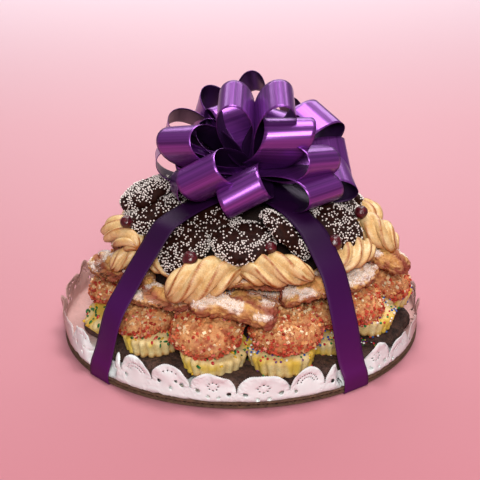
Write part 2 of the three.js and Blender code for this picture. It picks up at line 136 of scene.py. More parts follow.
# Each loop: bearing, rise, length, gap between its sides, bank of the ribbon and skew of its end.
LOOPS = [
    (174, 54, 80, 25, 88, 0.1),
    (-30, 68, 79, 28, 115, 0),
    (45, 62, 83, 29, 50, 0),
    (116, 26, 86, 28, 22, 0),
    (38, 45, 72, 30, -28, 0.5),
    (-68, 31, 76, 30, 26, -0.3),
    (-36, 13, 73, 30, 34, -0.2),
    (-5, 1, 67, 28, 26, -0.2),
    (50, -3, 78, 27, 2, 0.2),
    (54, 18, 76, 27, -13, 0.15),
    (100, 3, 84, 24, 50, 0),
    (86, -3, 84, 25, 22, -0.3),
    (-100, 6, 80, 28, 8, -0.25),
    (-121, 23, 86, 26, 48, -0.3),
    (-142, 38, 80, 26, 78, 0),
    (152, 30, 82, 27, -36, 0.3),
    (178, 8, 84, 28, 0, 0),
    (-140, 3, 82, 27, 24, 0),
]
# Short loops at the back of the knot, seen between the others.
INNER_LOOPS = [
    (-165, 62, 58, 24, 0, 0),
    (-112, 42, 56, 24, 25, 0),
    (130, 48, 58, 24, 0, 0),
    (-132, 64, 60, 24, -20, 0),
    (-95, -4, 60, 22, 60, 0),
    (-74, -9, 66, 27, 6, 0),
]

# The layers of the heap round the back: kind, reach of the base, height, lean of the top
# outwards, distance between neighbours, reach of a cookie's own outline, and the bearings of
# the last cookies of the front on the right and on the left.
BACK_LAYERS = [
    ("cocoa", 110, 0, 0, 54, 26.5, 99, -101),
    ("butter", 114, 14, 5, 55, 27, 80, -74),
    ("nut", 108, 33, 22, 56, 28, 76, -84),
    ("pastry", 110, 57, 14, 50, 28, 70, -78),
    ("spritz", 101, 76, 16, 52, 29, 75, -88),
    ("nonpareil", 80, 96, 26, 47, 24.5, 80, -85),
]
# Chocolate cookies under the back of the bow: bearing and reach, and what they share.
CROWN = [(150, 48), (-165, 52), (100, 40), (-110, 42)]
CROWN_HEIGHT, CROWN_LEAN, CROWN_SIZE = 104, 12, 24
# Cookies that the others hide nearly whole: kind, bearing, reach, height, lean and size.
HIDDEN = [
    ("cocoa", -57, 118, 0, 0, 26),
    ("cocoa", 42, 112, 0, 0, 26),
    ("pastry", 3, 90, 55, 12, 28),
    ("pastry", 25, 84, 57, 12, 26),
]

# The round cookies: height and radius as shares of the reach of the outline, and the profile
# from the middle of the base to the middle of the top, in shares of radius and height.
ROUND_COOKIES = {
    "cocoa": (0.49, 0.99, [
        (0, 0), (0.84, 0), (0.96, 0.1), (1, 0.42), (0.95, 0.78), (0.72, 0.97), (0, 1),
    ]),
    "butter": (0.55, 0.96, [
        (0, 0), (0.86, 0), (0.91, 0.04), (0.95, 0.4), (1, 0.7), (1, 0.88), (0.95, 0.98), (0.8, 1), (0, 1.02),
    ]),
    "nut": (0.68, 0.96, [
        (0, 0), (0.8, 0), (0.95, 0.09), (1, 0.3), (0.94, 0.6), (0.7, 0.88), (0.36, 0.98), (0, 1),
    ]),
    "nonpareil": (0.5, 0.98, [
        (0, 0), (0.86, 0), (0.97, 0.1), (1, 0.32), (0.93, 0.66), (0.62, 0.93), (0, 1),
    ]),
}
BUTTER_FLUTES = 22
# The long cookies: width and height as shares of the reach.
PASTRY_WIDTH, PASTRY_HEIGHT = 0.96, 0.38
SPRITZ_WIDTH, SPRITZ_HEIGHT = 0.98, 0.66
SPRITZ_RIDGES = 5
SPRITZ_TWIST = 255

# Loose pieces on one cookie: how many at most, how far apart or how long, and their tints.
BEADS, BEAD_SPACING = 560, 1.45
CHIPS, CHIP_LENGTH = 560, 1.5
CRUMBS, CRUMB_LENGTH = 800, 1.1
FLAKES, FLAKE_LENGTH = 330, 1.4
GRAINS, GRAIN_SPACING = 420, 0.9
ROUND_SPRINKLES, LEAF_SPRINKLES, SPRINKLE_SPACING = 150, 70, 2.0
RED_CHIPS = ["c4442c", "a8301f", "d2563a", "dc7a50"]
PALE_CHIPS = ["e09a60", "f0c793", "cf6f45", "f5dbb0", "e8b076"]
BROWN_CHIPS = ["a8502c", "c98a4a", "8a3a22", "dba566", "b8603c"]
ROUND_TINTS = ["c3202c", "1d4fa0", "1c7a3a", "f2efe9", "e9c52b", "c3202c", "6b2a7c"]
LEAF_TINTS = ["1d6b32", "1d6b32", "c02a2a", "155a2a", "d8a92c"]

# Profiles of turned bodies, as (radius, height); the cherry's are shares of its reach.
CORE_PROFILE = [(0, 0), (84, 0), (90, 12), (88, 34), (84, 56), (72, 78), (54, 94), (30, 106), (0, 110)]
KNOT_PROFILE = [(0, -11), (8, -8), (11, 0), (8, 8), (0, 11)]
CHERRY_PROFILE = [(0, -1), (0.62, -0.8), (0.97, -0.15), (0.95, 0.3), (0.55, 0.86), (0.12, 0.93), (0, 0.86)]

# Stage, in metres. Each light: name, place, what it faces, size, power and tint.
FLOOR_REACH = 40.0
# Painted light on the floor: its colour is darker and pinker at the front and lighter into the distance, by
# place along Y.
FLOOR_PAINTED_LIGHT = [(0.0, "b9707b"), (0.5, "d3a1aa"), (1.0, "e2cbd3")]
FLOOR_PAINTED_LIGHT_FROM, FLOOR_PAINTED_LIGHT_TO = -0.4, 1.6
ROOM_TINT, ROOM_STRENGTH = (1, 0.9, 0.93, 1), 0.2
HEAP_MIDDLE = (0, 0, 0.09)
LIGHTS = [
    ("front_softbox", (0.05, -1.5, 0.98), HEAP_MIDDLE, (0.5, 0.4), 21, (1, 0.98, 0.96)),
    ("top_softbox", (0.15, 0.15, 1.5), HEAP_MIDDLE, (0.9, 0.5), 17, (1, 0.97, 0.96)),
    ("back_softbox", (0, 1.9, 1.5), (0, 1.7, 0), (2.6, 1.0), 36, (1, 0.97, 0.98)),
]

rng = np.random.default_rng(11)


# ---------------------------------------------------------------- shapes


def crosses(corners):
    """For each triangle, its normal with the length of twice its area."""
    return np.cross(corners[:, 1] - corners[:, 0], corners[:, 2] - corners[:, 0])


class Shape:
    """Points with quads and triangles, and named values that belong to each point."""

    def __init__(self, points, quads=(), tris=(), **values):
        self.points = np.array(points, float).reshape(-1, 3)
        self.quads = np.array(quads, int).reshape(-1, 4)
        self.tris = np.array(tris, int).reshape(-1, 3)
        self.values = {}
        for name, value in values.items():
            self.set(name, value)

    def set(self, name, value):
        self.values[name] = np.asarray(value, float)

    def triangles(self):
        halves = [self.tris, self.quads[:, [0, 1, 2]], self.quads[:, [0, 2, 3]]]
        return np.concatenate(halves)

    def normals(self):
        triangles = self.triangles()
        facing = crosses(self.points[triangles])
        total = np.zeros_like(self.points)
        for corner in range(3):
            np.add.at(total, triangles[:, corner], facing)
        length = np.linalg.norm(total, axis=1, keepdims=True)
        return total / np.maximum(length, 1e-12)

    def pushed(self, distance):
        """Moves each point out along its normal."""
        self.points += self.normals() * np.asarray(distance)[:, None]
        return self


def joined(shapes):
    """One shape out of several; a value that a shape lacks counts as nothing there."""
    names = {name: value.shape[1:] for shape in shapes for name, value in shape.values.items()}
    starts = np.cumsum([0] + [len(shape.points) for shape in shapes])
    whole = Shape(
        np.concatenate([shape.points for shape in shapes]),
        np.concatenate([shape.quads + start for shape, start in zip(shapes, starts)]),
        np.concatenate([shape.tris + start for shape, start in zip(shapes, starts)]),
    )
    for name, form in names.items():
        parts = [s.values.get(name, np.zeros((len(s.points),) + form)) for s in shapes]
        whole.values[name] = np.concatenate(parts)
    return whole


def new_piece(name, shape, material, replaces=(), slot=None, smooth=True):
    """Makes the Blender object, in metres, and fixes it to the one body."""
    quads, tris = shape.quads, shape.tris
    mesh = bpy.data.meshes.new(name)
    mesh.vertices.add(len(shape.points))
    mesh.vertices.foreach_set("co", (shape.points / METRE).astype(np.float32).ravel())
    mesh.loops.add(quads.size + tris.size)
    mesh.loops.foreach_set("vertex_index", np.concatenate([quads.ravel(), tris.ravel()]))
    mesh.polygons.add(len(quads) + len(tris))
    starts = [np.arange(len(quads)) * 4, quads.size + np.arange(len(tris)) * 3]
    mesh.polygons.foreach_set("loop_start", np.concatenate(starts))
    mesh.polygons.foreach_set("use_smooth", np.full(len(quads) + len(tris), smooth))
    for key, value in shape.values.items():
        if value.ndim == 1:
            mesh.attributes.new(key, "FLOAT", "POINT").data.foreach_set("value", value)
        else:
            opaque = np.column_stack([value, np.ones(len(value))])
            layer = mesh.attributes.new(key, "FLOAT_COLOR", "POINT")
            layer.data.foreach_set("color", opaque.ravel())
    mesh.update(calc_edges=True)
    mesh.materials.append(material)
    piece = bpy.data.objects.new(name, mesh)
    bpy.context.scene.collection.objects.link(piece)
    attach(piece, "root")
    if replaces:
        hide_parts(*replaces)
    return piece


def smoothstep(value, low, high):
    """From 0 at low to 1 at high, soft at both ends; low may be the greater."""
    share = np.clip((np.asarray(value, float) - low) / (high - low), 0, 1)
    return share * share * (3 - 2 * share)


def lattice(cells):
    """A fixed irregular number from 0 to 1 for each whole-numbered cell."""
    mixed = cells[..., 0] * 73856093 ^ cells[..., 1] * 19349663 ^ cells[..., 2] * 83492791
    mixed = (mixed ^ (mixed >> 13)) * 1274126177
    return ((mixed ^ (mixed >> 16)) & 0xFFFF) / 65535.0


def noise(points, size, seed=0):
    """Smooth unevenness between -1 and 1 with lumps about one size across."""
    place = np.asarray(points, float) / size + 17.3 * seed
    cell = np.floor(place).astype(np.int64)
    part = place - cell
    part = part * part * (3 - 2 * part)
    total = np.zeros(place.shape[:-1])
    for step in itertools.product((0, 1), repeat=3):
        weight = np.prod(np.where(step, part, 1 - part), axis=-1)
        total += weight * lattice(cell + np.array(step))
    return total * 2 - 1


def rough(points, size, seed=0):
    """Noise in three octaves, each half the size and depth of the one before."""
    total = np.zeros(len(points))
    for octave in range(3):
        total += noise(points, size / 2**octave, seed + octave) / 2**octave
    return total


SPAN_SAMPLES = 24


def curve_through(points, count):
    """A smooth line through the points, with evenly spaced samples."""
    points = np.asarray(points, float)
    padded = np.vstack([2 * points[0] - points[1], points, 2 * points[-1] - points[-2]])
    line = []
    for i in range(len(points) - 1):
        a, b, c, d = padded[i : i + 4]
        for t in np.linspace(0, 1, SPAN_SAMPLES, endpoint=False):
            bend = 2 * b + (c - a) * t + (2 * a - 5 * b + 4 * c - d) * t**2
            line.append(0.5 * (bend + (3 * b - a - 3 * c + d) * t**3))
    line.append(points[-1])
    line = np.array(line)
    run = np.concatenate([[0], np.cumsum(np.linalg.norm(np.diff(line, axis=0), axis=1))])
    wanted = np.linspace(0, run[-1], count)
    return np.column_stack([np.interp(wanted, run, line[:, k]) for k in range(line.shape[1])])


def capped_rings(rings, segments):
    """The quads between stacked rings of points and the triangles that close both ends, each
    round one point: first the bottom's, then the top's, numbered after the rings."""
    here = np.arange(segments)
    beside = (here + 1) % segments
    level = np.arange(rings - 1)[:, None] * segments
    above = level + segments
    quads = np.stack([level + here, level + beside, above + beside, above + here], -1)
    last = (rings - 1) * segments
    bottom = np.stack([np.full(segments, rings * segments), beside, here], -1)
    top = np.stack([np.full(segments, rings * segments + 1), last + here, last + beside], -1)
    return quads.reshape(-1, 4), np.concatenate([bottom, top])


def lathed(outline, segments):
    """A closed body turned about Z, from an outline of (radius, height) that starts at the
    bottom of the axis and ends at its top, with sharp corners."""
    outline = np.asarray(outline, float)
    angle = np.arange(segments) * TAU / segments
    radius, height = outline[1:-1, :1], outline[1:-1, 1:]
    x, y = radius * np.cos(angle), radius * np.sin(angle)
    grid = np.stack([x, y, np.repeat(height, segments, 1)], -1)
    points = np.vstack([grid.reshape(-1, 3), [0, 0, outline[0, 1]], [0, 0, outline[-1, 1]]])
    return Shape(points, *capped_rings(len(outline) - 2, segments))


def turned(profile, rings, segments):
    """A body turned about Z with a smooth outline."""
    return lathed(curve_through(profile, rings + 2), segments)


def thick_sheet(grid, thickness):
    """A thin closed slab from a grid of points, with the given thickness either way of it."""
    rows, columns = grid.shape[:2]
    along = np.gradient(grid, axis=0)
    across = np.gradient(grid, axis=1)
    facing = np.cross(along, across)
    facing /= np.maximum(np.linalg.norm(facing, axis=-1, keepdims=True), 1e-9)
    points = np.concatenate(
        [(grid + facing * thickness / 2).reshape(-1, 3), (grid - facing * thickness / 2).reshape(-1, 3)]
    )
    index = np.arange(rows * columns).reshape(rows, columns)
    front = np.stack([index[:-1, :-1], index[1:, :-1], index[1:, 1:], index[:-1, 1:]], -1)
    back = front[..., ::-1] + rows * columns
    border = np.concatenate([index[:-1, 0], index[-1, :-1], index[1:, -1][::-1], index[0, 1:][::-1]])
    following = np.roll(border, -1)
    behind = rows * columns
    sides = np.stack([following, border, border + behind, following + behind], -1)
    return Shape(points, np.concatenate([front.reshape(-1, 4), back.reshape(-1, 4), sides]))


EIGHT_SIDED_POINTS = [(1, 0, 0), (-1, 0, 0), (0, 1, 0), (0, -1, 0), (0, 0, 1), (0, 0, -1)]
EIGHT_SIDED_FACES = [(0, 2, 4), (2, 1, 4), (1, 3, 4), (3, 0, 4), (2, 0, 5), (1, 2, 5), (3, 1, 5), (0, 3, 5)]


def small_ball():
    """An eight-sided ball, split once: the form of a bead or sprinkle."""
    points = [np.array(point, float) for point in EIGHT_SIDED_POINTS]
    halves = {}

    def half(a, b):
        key = (min(a, b), max(a, b))
        if key not in halves:
            middle = points[a] + points[b]
            halves[key] = len(points)
            points.append(middle / np.linalg.norm(middle))
        return halves[key]

    split = []
    for a, b, c in EIGHT_SIDED_FACES:
        ab, bc, ca = half(a, b), half(b, c), half(c, a)
        split += [(a, ab, ca), (ab, b, bc), (ca, bc, c), (ab, bc, ca)]
    return Shape(points, tris=split)


def small_grain():
    """The form of a crumb or a grain of sugar."""
    return Shape(EIGHT_SIDED_POINTS, tris=EIGHT_SIDED_FACES)


def small_block():
    """The form of a chopped chip."""
    points = list(itertools.product((-1, 1), repeat=3))
    quads = [(0, 1, 3, 2), (4, 6, 7, 5), (0, 4, 5, 1), (2, 3, 7, 6), (0, 2, 6, 4), (1, 5, 7, 3)]
    return Shape(points, quads)


def copies(form, places, axes, tints):
    """The form repeated at each place, with its three axes there and its own tint."""
    count, size = len(places), len(form.points)
    points = np.einsum("pk,nkj->npj", form.points, axes) + places[:, None]
    starts = (np.arange(count) * size)[:, None, None]
    return Shape(
        points.reshape(-1, 3),
        (form.quads + starts).reshape(-1, 4),
        (form.tris + starts).reshape(-1, 3),
        tint=np.repeat(tints, size, 0),
    )


def random_turns(count):
    """Evenly random rotations, one 3 by 3 matrix each."""
    quarter = rng.normal(size=(count, 4))
    w, x, y, z = (quarter / np.linalg.norm(quarter, axis=1, keepdims=True)).T
    rows = [
        [1 - 2 * (y * y + z * z), 2 * (x * y - z * w), 2 * (x * z + y * w)],
        [2 * (x * y + z * w), 1 - 2 * (x * x + z * z), 2 * (y * z - x * w)],
        [2 * (x * z - y * w), 2 * (y * z + x * w), 1 - 2 * (x * x + y * y)],
    ]
    return np.moveaxis(np.array(rows), -1, 0)


NEIGHBOURS = list(itertools.product((-1, 0, 1), repeat=3))
TRIES_PER_SPOT = 3


def spots_on(shape, wanted, spacing, likely):
    """Scattered points on a shape, at least a spacing apart: their places and normals.
    likely gives the chance of a spot at each point of the shape."""
    faces = shape.triangles()
    corners = shape.points[faces]
    flat = crosses(corners)
    area = np.linalg.norm(flat, axis=1)
    chance = area * likely[faces].mean(1)
    if chance.sum() <= 0:
        return np.zeros((0, 3)), np.zeros((0, 3))
    tries = wanted * TRIES_PER_SPOT
    picked = rng.choice(len(faces), tries, p=chance / chance.sum())
    first, second = np.sqrt(rng.random(tries)), rng.random(tries)
    share = np.stack([1 - first, first * (1 - second), first * second], -1)
    places = np.einsum("nk,nkj->nj", share, corners[picked])
    facing = flat[picked] / area[picked, None]
    kept = []
    cells = {}
    for number, place in enumerate(places):
        cell = tuple(np.floor(place / spacing).astype(int))
        near = [cells.get(tuple(np.add(cell, step)), ()) for step in NEIGHBOURS]
        if all(np.sum((places[i] - place) ** 2) >= spacing**2 for group in near for i in group):
            cells.setdefault(cell, []).append(number)
            kept.append(number)
        if len(kept) >= wanted:
            break
    return places[kept], facing[kept]


# ---------------------------------------------------------------- materials


def colour(code):
    """Linear colour from a six-figure code as written for screens."""
    parts = [int(code[i : i + 2], 16) / 255 for i in (0, 2, 4)]
    return tuple(p / 12.92 if p <= 0.04045 else ((p + 0.055) / 1.055) ** 2.4 for p in parts)


class Finish:
    """One material and short ways to add its nodes."""

    def __init__(self, name, roughness, **settings):
        self.material = bpy.data.materials.new(name)
        self.material.use_nodes = True
        self.tree = self.material.node_tree
        self.shader = self.tree.nodes["Principled BSDF"]
        self.shader.inputs["Roughness"].default_value = roughness
        for name, value in settings.items():
            self.shader.inputs[name.replace("_", " ")].default_value = value
        self.place = self.tree.nodes.new("ShaderNodeTexCoord").outputs["Object"]

    def add(self, kind, **inputs):
        node = self.tree.nodes.new(kind)
        for name, value in inputs.items():
            self.put(node.inputs[name.replace("_", " ")], value)
        return node

    def put(self, socket, value):
        """Links or sets a socket, whichever the value calls for."""
        if isinstance(value, bpy.types.NodeSocket):
            self.tree.links.new(value, socket)
        elif isinstance(value, tuple) and len(value) == 3 and socket.type == "RGBA":
            socket.default_value = (*value, 1)
        else:
            socket.default_value = value

    def speckle(self, size, detail=3.0, roughness=0.55):
        """Noise from 0 to 1 with lumps of about that many millimetres."""
        node = self.add(
            "ShaderNodeTexNoise", Vector=self.place, Scale=METRE / size, Detail=detail, Roughness=roughness
        )
        return node.outputs["Fac"]

    def cells(self, size):
        """Distance to the nearest of scattered points about that many millimetres apart."""
        node = self.add("ShaderNodeTexVoronoi", Vector=self.place, Scale=METRE / size)
        return node.outputs["Distance"]

    def value(self, name, output="Fac"):
        """What the points of the mesh carry under that name."""
        node = self.tree.nodes.new("ShaderNodeAttribute")
        node.attribute_name = name
        return node.outputs[output]

    def place_share(self, axis, low, high):
        """From 0 to 1 as the place along an axis goes from low to high, in metres."""
        along = self.add("ShaderNodeSeparateXYZ", Vector=self.place).outputs[axis]
        node = self.add("ShaderNodeMapRange", Value=along)
        node.inputs["From Min"].default_value = low
        node.inputs["From Max"].default_value = high
        return node.outputs["Result"]

    def ramp(self, source, stops):
        """Turns a number into a colour or a grey by stops of (number, colour or grey)."""
        node = self.add("ShaderNodeValToRGB", Fac=source)
        elements = node.color_ramp.elements
        while len(elements) < len(stops):
            elements.new(0.5)
        for element, (place, shade) in zip(elements, stops):
            element.position = place
            element.color = (*shade, 1) if isinstance(shade, tuple) else (shade, shade, shade, 1)
        return node.outputs["Color"]

    def mix(self, share, first, second):
        node = self.tree.nodes.new("ShaderNodeMix")
        node.data_type = "RGBA"
        sockets = [s for s in node.inputs if s.type == "RGBA"]
        self.put(node.inputs["Factor"], share)
        self.put(sockets[0], first)
        self.put(sockets[1], second)
        return [s for s in node.outputs if s.type == "RGBA"][0]

    def darkened(self, share, base, shade):
        """A colour multiplied by a shade, as far as the share says."""
        result = self.mix(share, base, shade)
        result.node.blend_type = "MULTIPLY"
        return result

    def product(self, first, second):
        """Two numbers multiplied and kept between 0 and 1."""
        node = self.tree.nodes.new("ShaderNodeMath")
        node.operation = "MULTIPLY"
        node.use_clamp = True
        self.put(node.inputs[0], first)
        self.put(node.inputs[1], second)
        return node.outputs[0]

    def mottled(self, size, low, high, detail=3.0):
        """Two colours in patches of about that size; each is (place in the noise, code)."""
        stops = [(place, colour(code)) for place, code in (low, high)]
        return self.ramp(self.speckle(size, detail), stops)

    def paint(self, source):
        self.put(self.shader.inputs["Base Color"], source)

    def cover(self, share, code):
        """Lays another colour over the paint."""
        paint = self.shader.inputs["Base Color"].links[0].from_socket
        self.paint(self.mix(share, paint, colour(code)))

    def shine(self, source):
        self.put(self.shader.inputs["Roughness"], source)

    def relief(self, source, depth, strength=1.0):
        """Bump of that many millimetres from a source between 0 and 1."""
        before = self.shader.inputs["Normal"]
        node = self.add("ShaderNodeBump", Height=source, Distance=depth / METRE, Strength=strength)
        if before.is_linked:
            self.tree.links.new(before.links[0].from_socket, node.inputs["Normal"])
        self.tree.links.new(node.outputs["Normal"], before)


def dough(name, pale, middle, brown, grain=0.5, roughness=0.62, porous=0.0):
    """Baked dough: pale where its tone is 0, brown where it is 1, always mottled. The tone holds real
    browning and, in some hollows, painted shade.
    """
    finish = Finish(name, roughness)
    mottle = finish.mottled(7, (0.35, pale), (0.68, middle))
    uneven_edge = finish.ramp(finish.speckle(3), [(0.3, 0.6), (0.7, 1.3)])
    browning_and_shade = finish.mix(finish.product(finish.value("tone"), uneven_edge), mottle, colour(brown))
    crumbs = finish.ramp(finish.speckle(1.1, 4), [(0.36, 0.72), (0.6, 1.06)])
    finish.paint(finish.darkened(0.6, browning_and_shade, crumbs))
    finish.relief(finish.speckle(1.2, 5, 0.65), grain)
    finish.relief(finish.speckle(4.5, 3), grain * 1.6)
    if porous:
        holes = finish.ramp(finish.cells(2.6), [(0.12, 0.0), (0.42, 1.0)])
        finish.relief(holes, porous)
    return finish


def cocoa_finish():
    return dough("cocoa_crumb", "3a231d", "5a3b31", "28160f", 0.7, 0.75, 0.9).material


def butter_finish():
    finish = dough("butter_dough", "f0dba2", "e3c581", "b47e3e", 0.25, 0.5)
    finish.cover(finish.value("cover"), "e0b93c")
    return finish.material


def nut_finish():
    return dough("nut_dough", "dca46a", "c9824a", "9c3e24", 0.6, 0.6).material


def pastry_finish():
    finish = dough("pastry_dough", "dcaa62", "c08044", "84402a", 0.6, 0.62)
    finish.cover(finish.value("jam"), "8c3c28")
    clumps = finish.ramp(finish.speckle(1.4, 5, 0.7), [(0.37, 0.2), (0.6, 1.1)])
    finish.cover(finish.product(finish.value("cover"), clumps), "efe3da")
    return finish.material


def spritz_finish():
    return dough("piped_dough", "e6c893", "d6aa6c", "a2561f", 0.2, 0.36).material


def chocolate_finish():
    finish = Finish("dark_chocolate", 0.55, Specular_IOR_Level=0.08)
    finish.paint(finish.mottled(5, (0.35, "1c0a06"), (0.7, "2e150e")))
    finish.relief(finish.speckle(1.6, 4), 0.35)
    return finish.material


def tinted_finish(name, roughness):
    """Small loose pieces that each carry their own tint."""
    finish = Finish(name, roughness)
    shade = finish.ramp(finish.speckle(0.9), [(0.3, 0.8), (0.7, 1.0)])
    finish.paint(finish.darkened(0.5, finish.value("tint", "Color"), shade))
    return finish.material


def cherry_finish():
    finish = Finish("candied_cherry", 0.3, Coat_Weight=0.3, Coat_Roughness=0.15)
    finish.paint(finish.mottled(4, (0.3, "2c040b"), (0.7, "5c0a18")))
    finish.relief(finish.speckle(2.2, 3), 0.5)
    return finish.material


def paper_finish():
    finish = Finish("lace_paper", 0.8)
    finish.paint(finish.mottled(9, (0.3, "eaf2f1"), (0.7, "f3f9f8")))
    # Painted shade: a pinkish-beige patch where the standing lace lies in shade at the left and right sides.
    finish.cover(finish.value("painted_shade"), "c59a95")
    finish.relief(finish.value("pleat"), 0.5)
    finish.relief(finish.speckle(0.8, 3), 0.08)
    return finish.material


def board_finish():
    finish = Finish("brown_board", 0.85)
    finish.paint(finish.mottled(3, (0.3, "4a3226"), (0.72, "70503a"), 5))
    finish.relief(finish.speckle(0.7, 4), 0.1)
    return finish.material


def core_finish():
    finish = Finish("shaded_crumb", 0.9)
    finish.paint(finish.mottled(8, (0.3, "1c0f0a"), (0.7, "38211a")))
    finish.relief(finish.speckle(4, 4), 2.0)
    return finish.material


def tie_finish():
    finish = Finish("satin_tie", 0.52, Specular_IOR_Level=0.16)
    # Painted shade: the straps are coloured darker towards the top, under the bow, and lighter low down, by
    # height.
    shades = [(0.1, colour("520f52")), (0.45, colour("400b4c")), (0.85, colour("280732"))]
    finish.paint(finish.ramp(finish.place_share("Z", 0, TIE_TOP / METRE), shades))
    finish.relief(finish.speckle(0.5, 2.0, 0.5), 0.02)
    return finish.material


def bow_finish():
    settings = {"Metallic": 0.66, "Specular_IOR_Level": 0.7, "Coat_Weight": 0.3, "Coat_Roughness": 0.3}
    finish = Finish("glossy_film", 0.3, **settings)
    waves = finish.add("ShaderNodeTexNoise", Scale=1 / FILM_WAVE, Detail=2.0, Roughness=0.5)
    waves.noise_dimensions = "1D"
    finish.put(waves.inputs["W"], finish.value("run"))
    # Painted sheen: the colour goes lighter and darker with the waves, in streaks like highlights.
    finish.paint(finish.ramp(waves.outputs["Fac"], [(0.3, colour("66287e")), (0.7, colour("8c40a6"))]))
    # Painted shade: the inner face of each loop is coloured darker than the outer.
    finish.cover(finish.value("inner"), "340f45")
    finish.shine(finish.ramp(finish.value("inner"), [(0.0, 0.3), (1.0, 0.45)]))
    finish.relief(waves.outputs["Fac"], FILM_WAVE_DEPTH)
    return finish.material


# ---------------------------------------------------------------- cookies


def uneven(shape, large, small, seed):
    """Gives a body the unevenness of hand-shaped dough."""
    lumps = large * noise(shape.points, 14, seed) + small * rough(shape.points, 5, seed + 3)
    return shape.pushed(lumps)


def patches(points, size, seed, low, high):
    """From 0 to 1 in patches about that size; low and high set how much they cover."""
    return smoothstep(noise(points, size, seed), low, high)


def round_cookie(kind, reach, rings, segments):
    """The smooth body of a round cookie, its height and its radius."""
    tall, wide, profile = ROUND_COOKIES[kind]
    height, radius = reach * tall, reach * wide
    outline = [(across * radius, up * height) for across, up in profile]
    return turned(outline, rings, segments), height, radius


def cocoa_shape(reach, seed):
    """Flat and porous, with pits of two sizes, coloured darker as painted shade."""
    shape, _, _ = round_cookie("cocoa", reach, 34, 112)
    uneven(shape, 0.8, 0.45, seed)
    fine = np.clip(noise(shape.points, 2.6, seed) - 0.25, 0, 1)
    pits = fine + np.clip(noise(shape.points, 5, seed) - 0.4, 0, 1)
    shape.pushed(-1.4 * pits)
    # Painted shade: the pits are browned darker.
    shape.set("tone", smoothstep(pits, 0, 0.5))
    return shape


def butter_shape(reach, seed):
    """Fluted round its side, browner at the foot, and darker between the flutes as painted shade."""
    shape, height, radius = round_cookie("butter", reach, 26, BUTTER_FLUTES * 6)
    flat = np.hypot(shape.points[:, 0], shape.points[:, 1])
    angle = np.arctan2(shape.points[:, 1], shape.points[:, 0])
    lobe = np.abs(np.sin(BUTTER_FLUTES / 2 * angle + 0.12 * np.sin(3 * angle + seed))) ** 0.6
    depth = 0.1 * smoothstep(flat / radius, 0.6, 0.9)
    shape.points[:, :2] *= (1 - depth * (1 - lobe))[:, None]
    uneven(shape, 0.9, 0.3, seed)
    share = shape.points[:, 2] / height
    low = smoothstep(share, 0.28, 0.0)
    patch = patches(shape.points, 11, seed + 4, -0.15, 0.35)
    # The foot is browner from baking; the dark between the flutes is painted shade.
    shape.set("tone", 0.75 * low + 0.5 * (1 - lobe) * smoothstep(flat / radius, 0.7, 0.85))
    shape.set("cover", patch * 0.9)
    return shape


def nut_shape(reach, seed):
    """A craggy mound, redder low down, with painted shade in its hollows."""
    shape, height, _ = round_cookie("nut", reach, 52, 140)
    uneven(shape, 1.5, 1.1, seed)
    crunch = 1 - np.abs(noise(shape.points, 3.4, seed + 6))
    shape.pushed(1.1 * crunch**3 + 0.45 * noise(shape.points, 1.9, seed + 7) - 0.6)
    share = shape.points[:, 2] / height
    red = 0.8 * smoothstep(share, 0.42, 0.0) + 0.35 * patches(shape.points, 8, seed, 0, 0.6)
    # Painted shade: the hollows between the crags are browned darker.
    shape.set("tone", np.clip(red + 0.5 * smoothstep(crunch, 0.75, 0.5), 0, 1))
    return shape


def nonpareil_shape(reach, seed):
    """A lumpy disc of chocolate; its sugar beads are separate."""
    shape, _, _ = round_cookie("nonpareil", reach, 30, 100)
    return uneven(shape, 1.6, 0.6, seed)


def long_grid(reach, width, height, rings, around, radius_at, blunt=2.2):
    """A lens-shaped body along X, pressed flat underneath. radius_at gives the share of the
    full cross-section for a place along it (-1 to 1) and an angle."""
    along = np.cos(np.linspace(math.pi, 0, rings + 2))[1:-1]
    along, angle = np.meshgrid(along, np.arange(around) * TAU / around, indexing="ij")
    slope = (1 - np.abs(along) ** blunt) ** 0.5
    share = slope * radius_at(along, angle)
    y = np.cos(angle) * share * width / 2
    z = np.maximum(0, np.sin(angle) * share * height * 0.62 + slope * height * 0.36)
    grid = np.stack([along * reach, y, z], -1)
    ends = [[-reach, 0, 0.05 * height], [reach, 0, 0.05 * height]]
    quads, tris = capped_rings(rings, around)
    shape = Shape(np.vstack([grid.reshape(-1, 3), ends]), quads[:, [0, 3, 2, 1]], tris[:, [0, 2, 1]])
    return shape, np.append(along, [-1, 1]), np.append(angle, [0, 0])


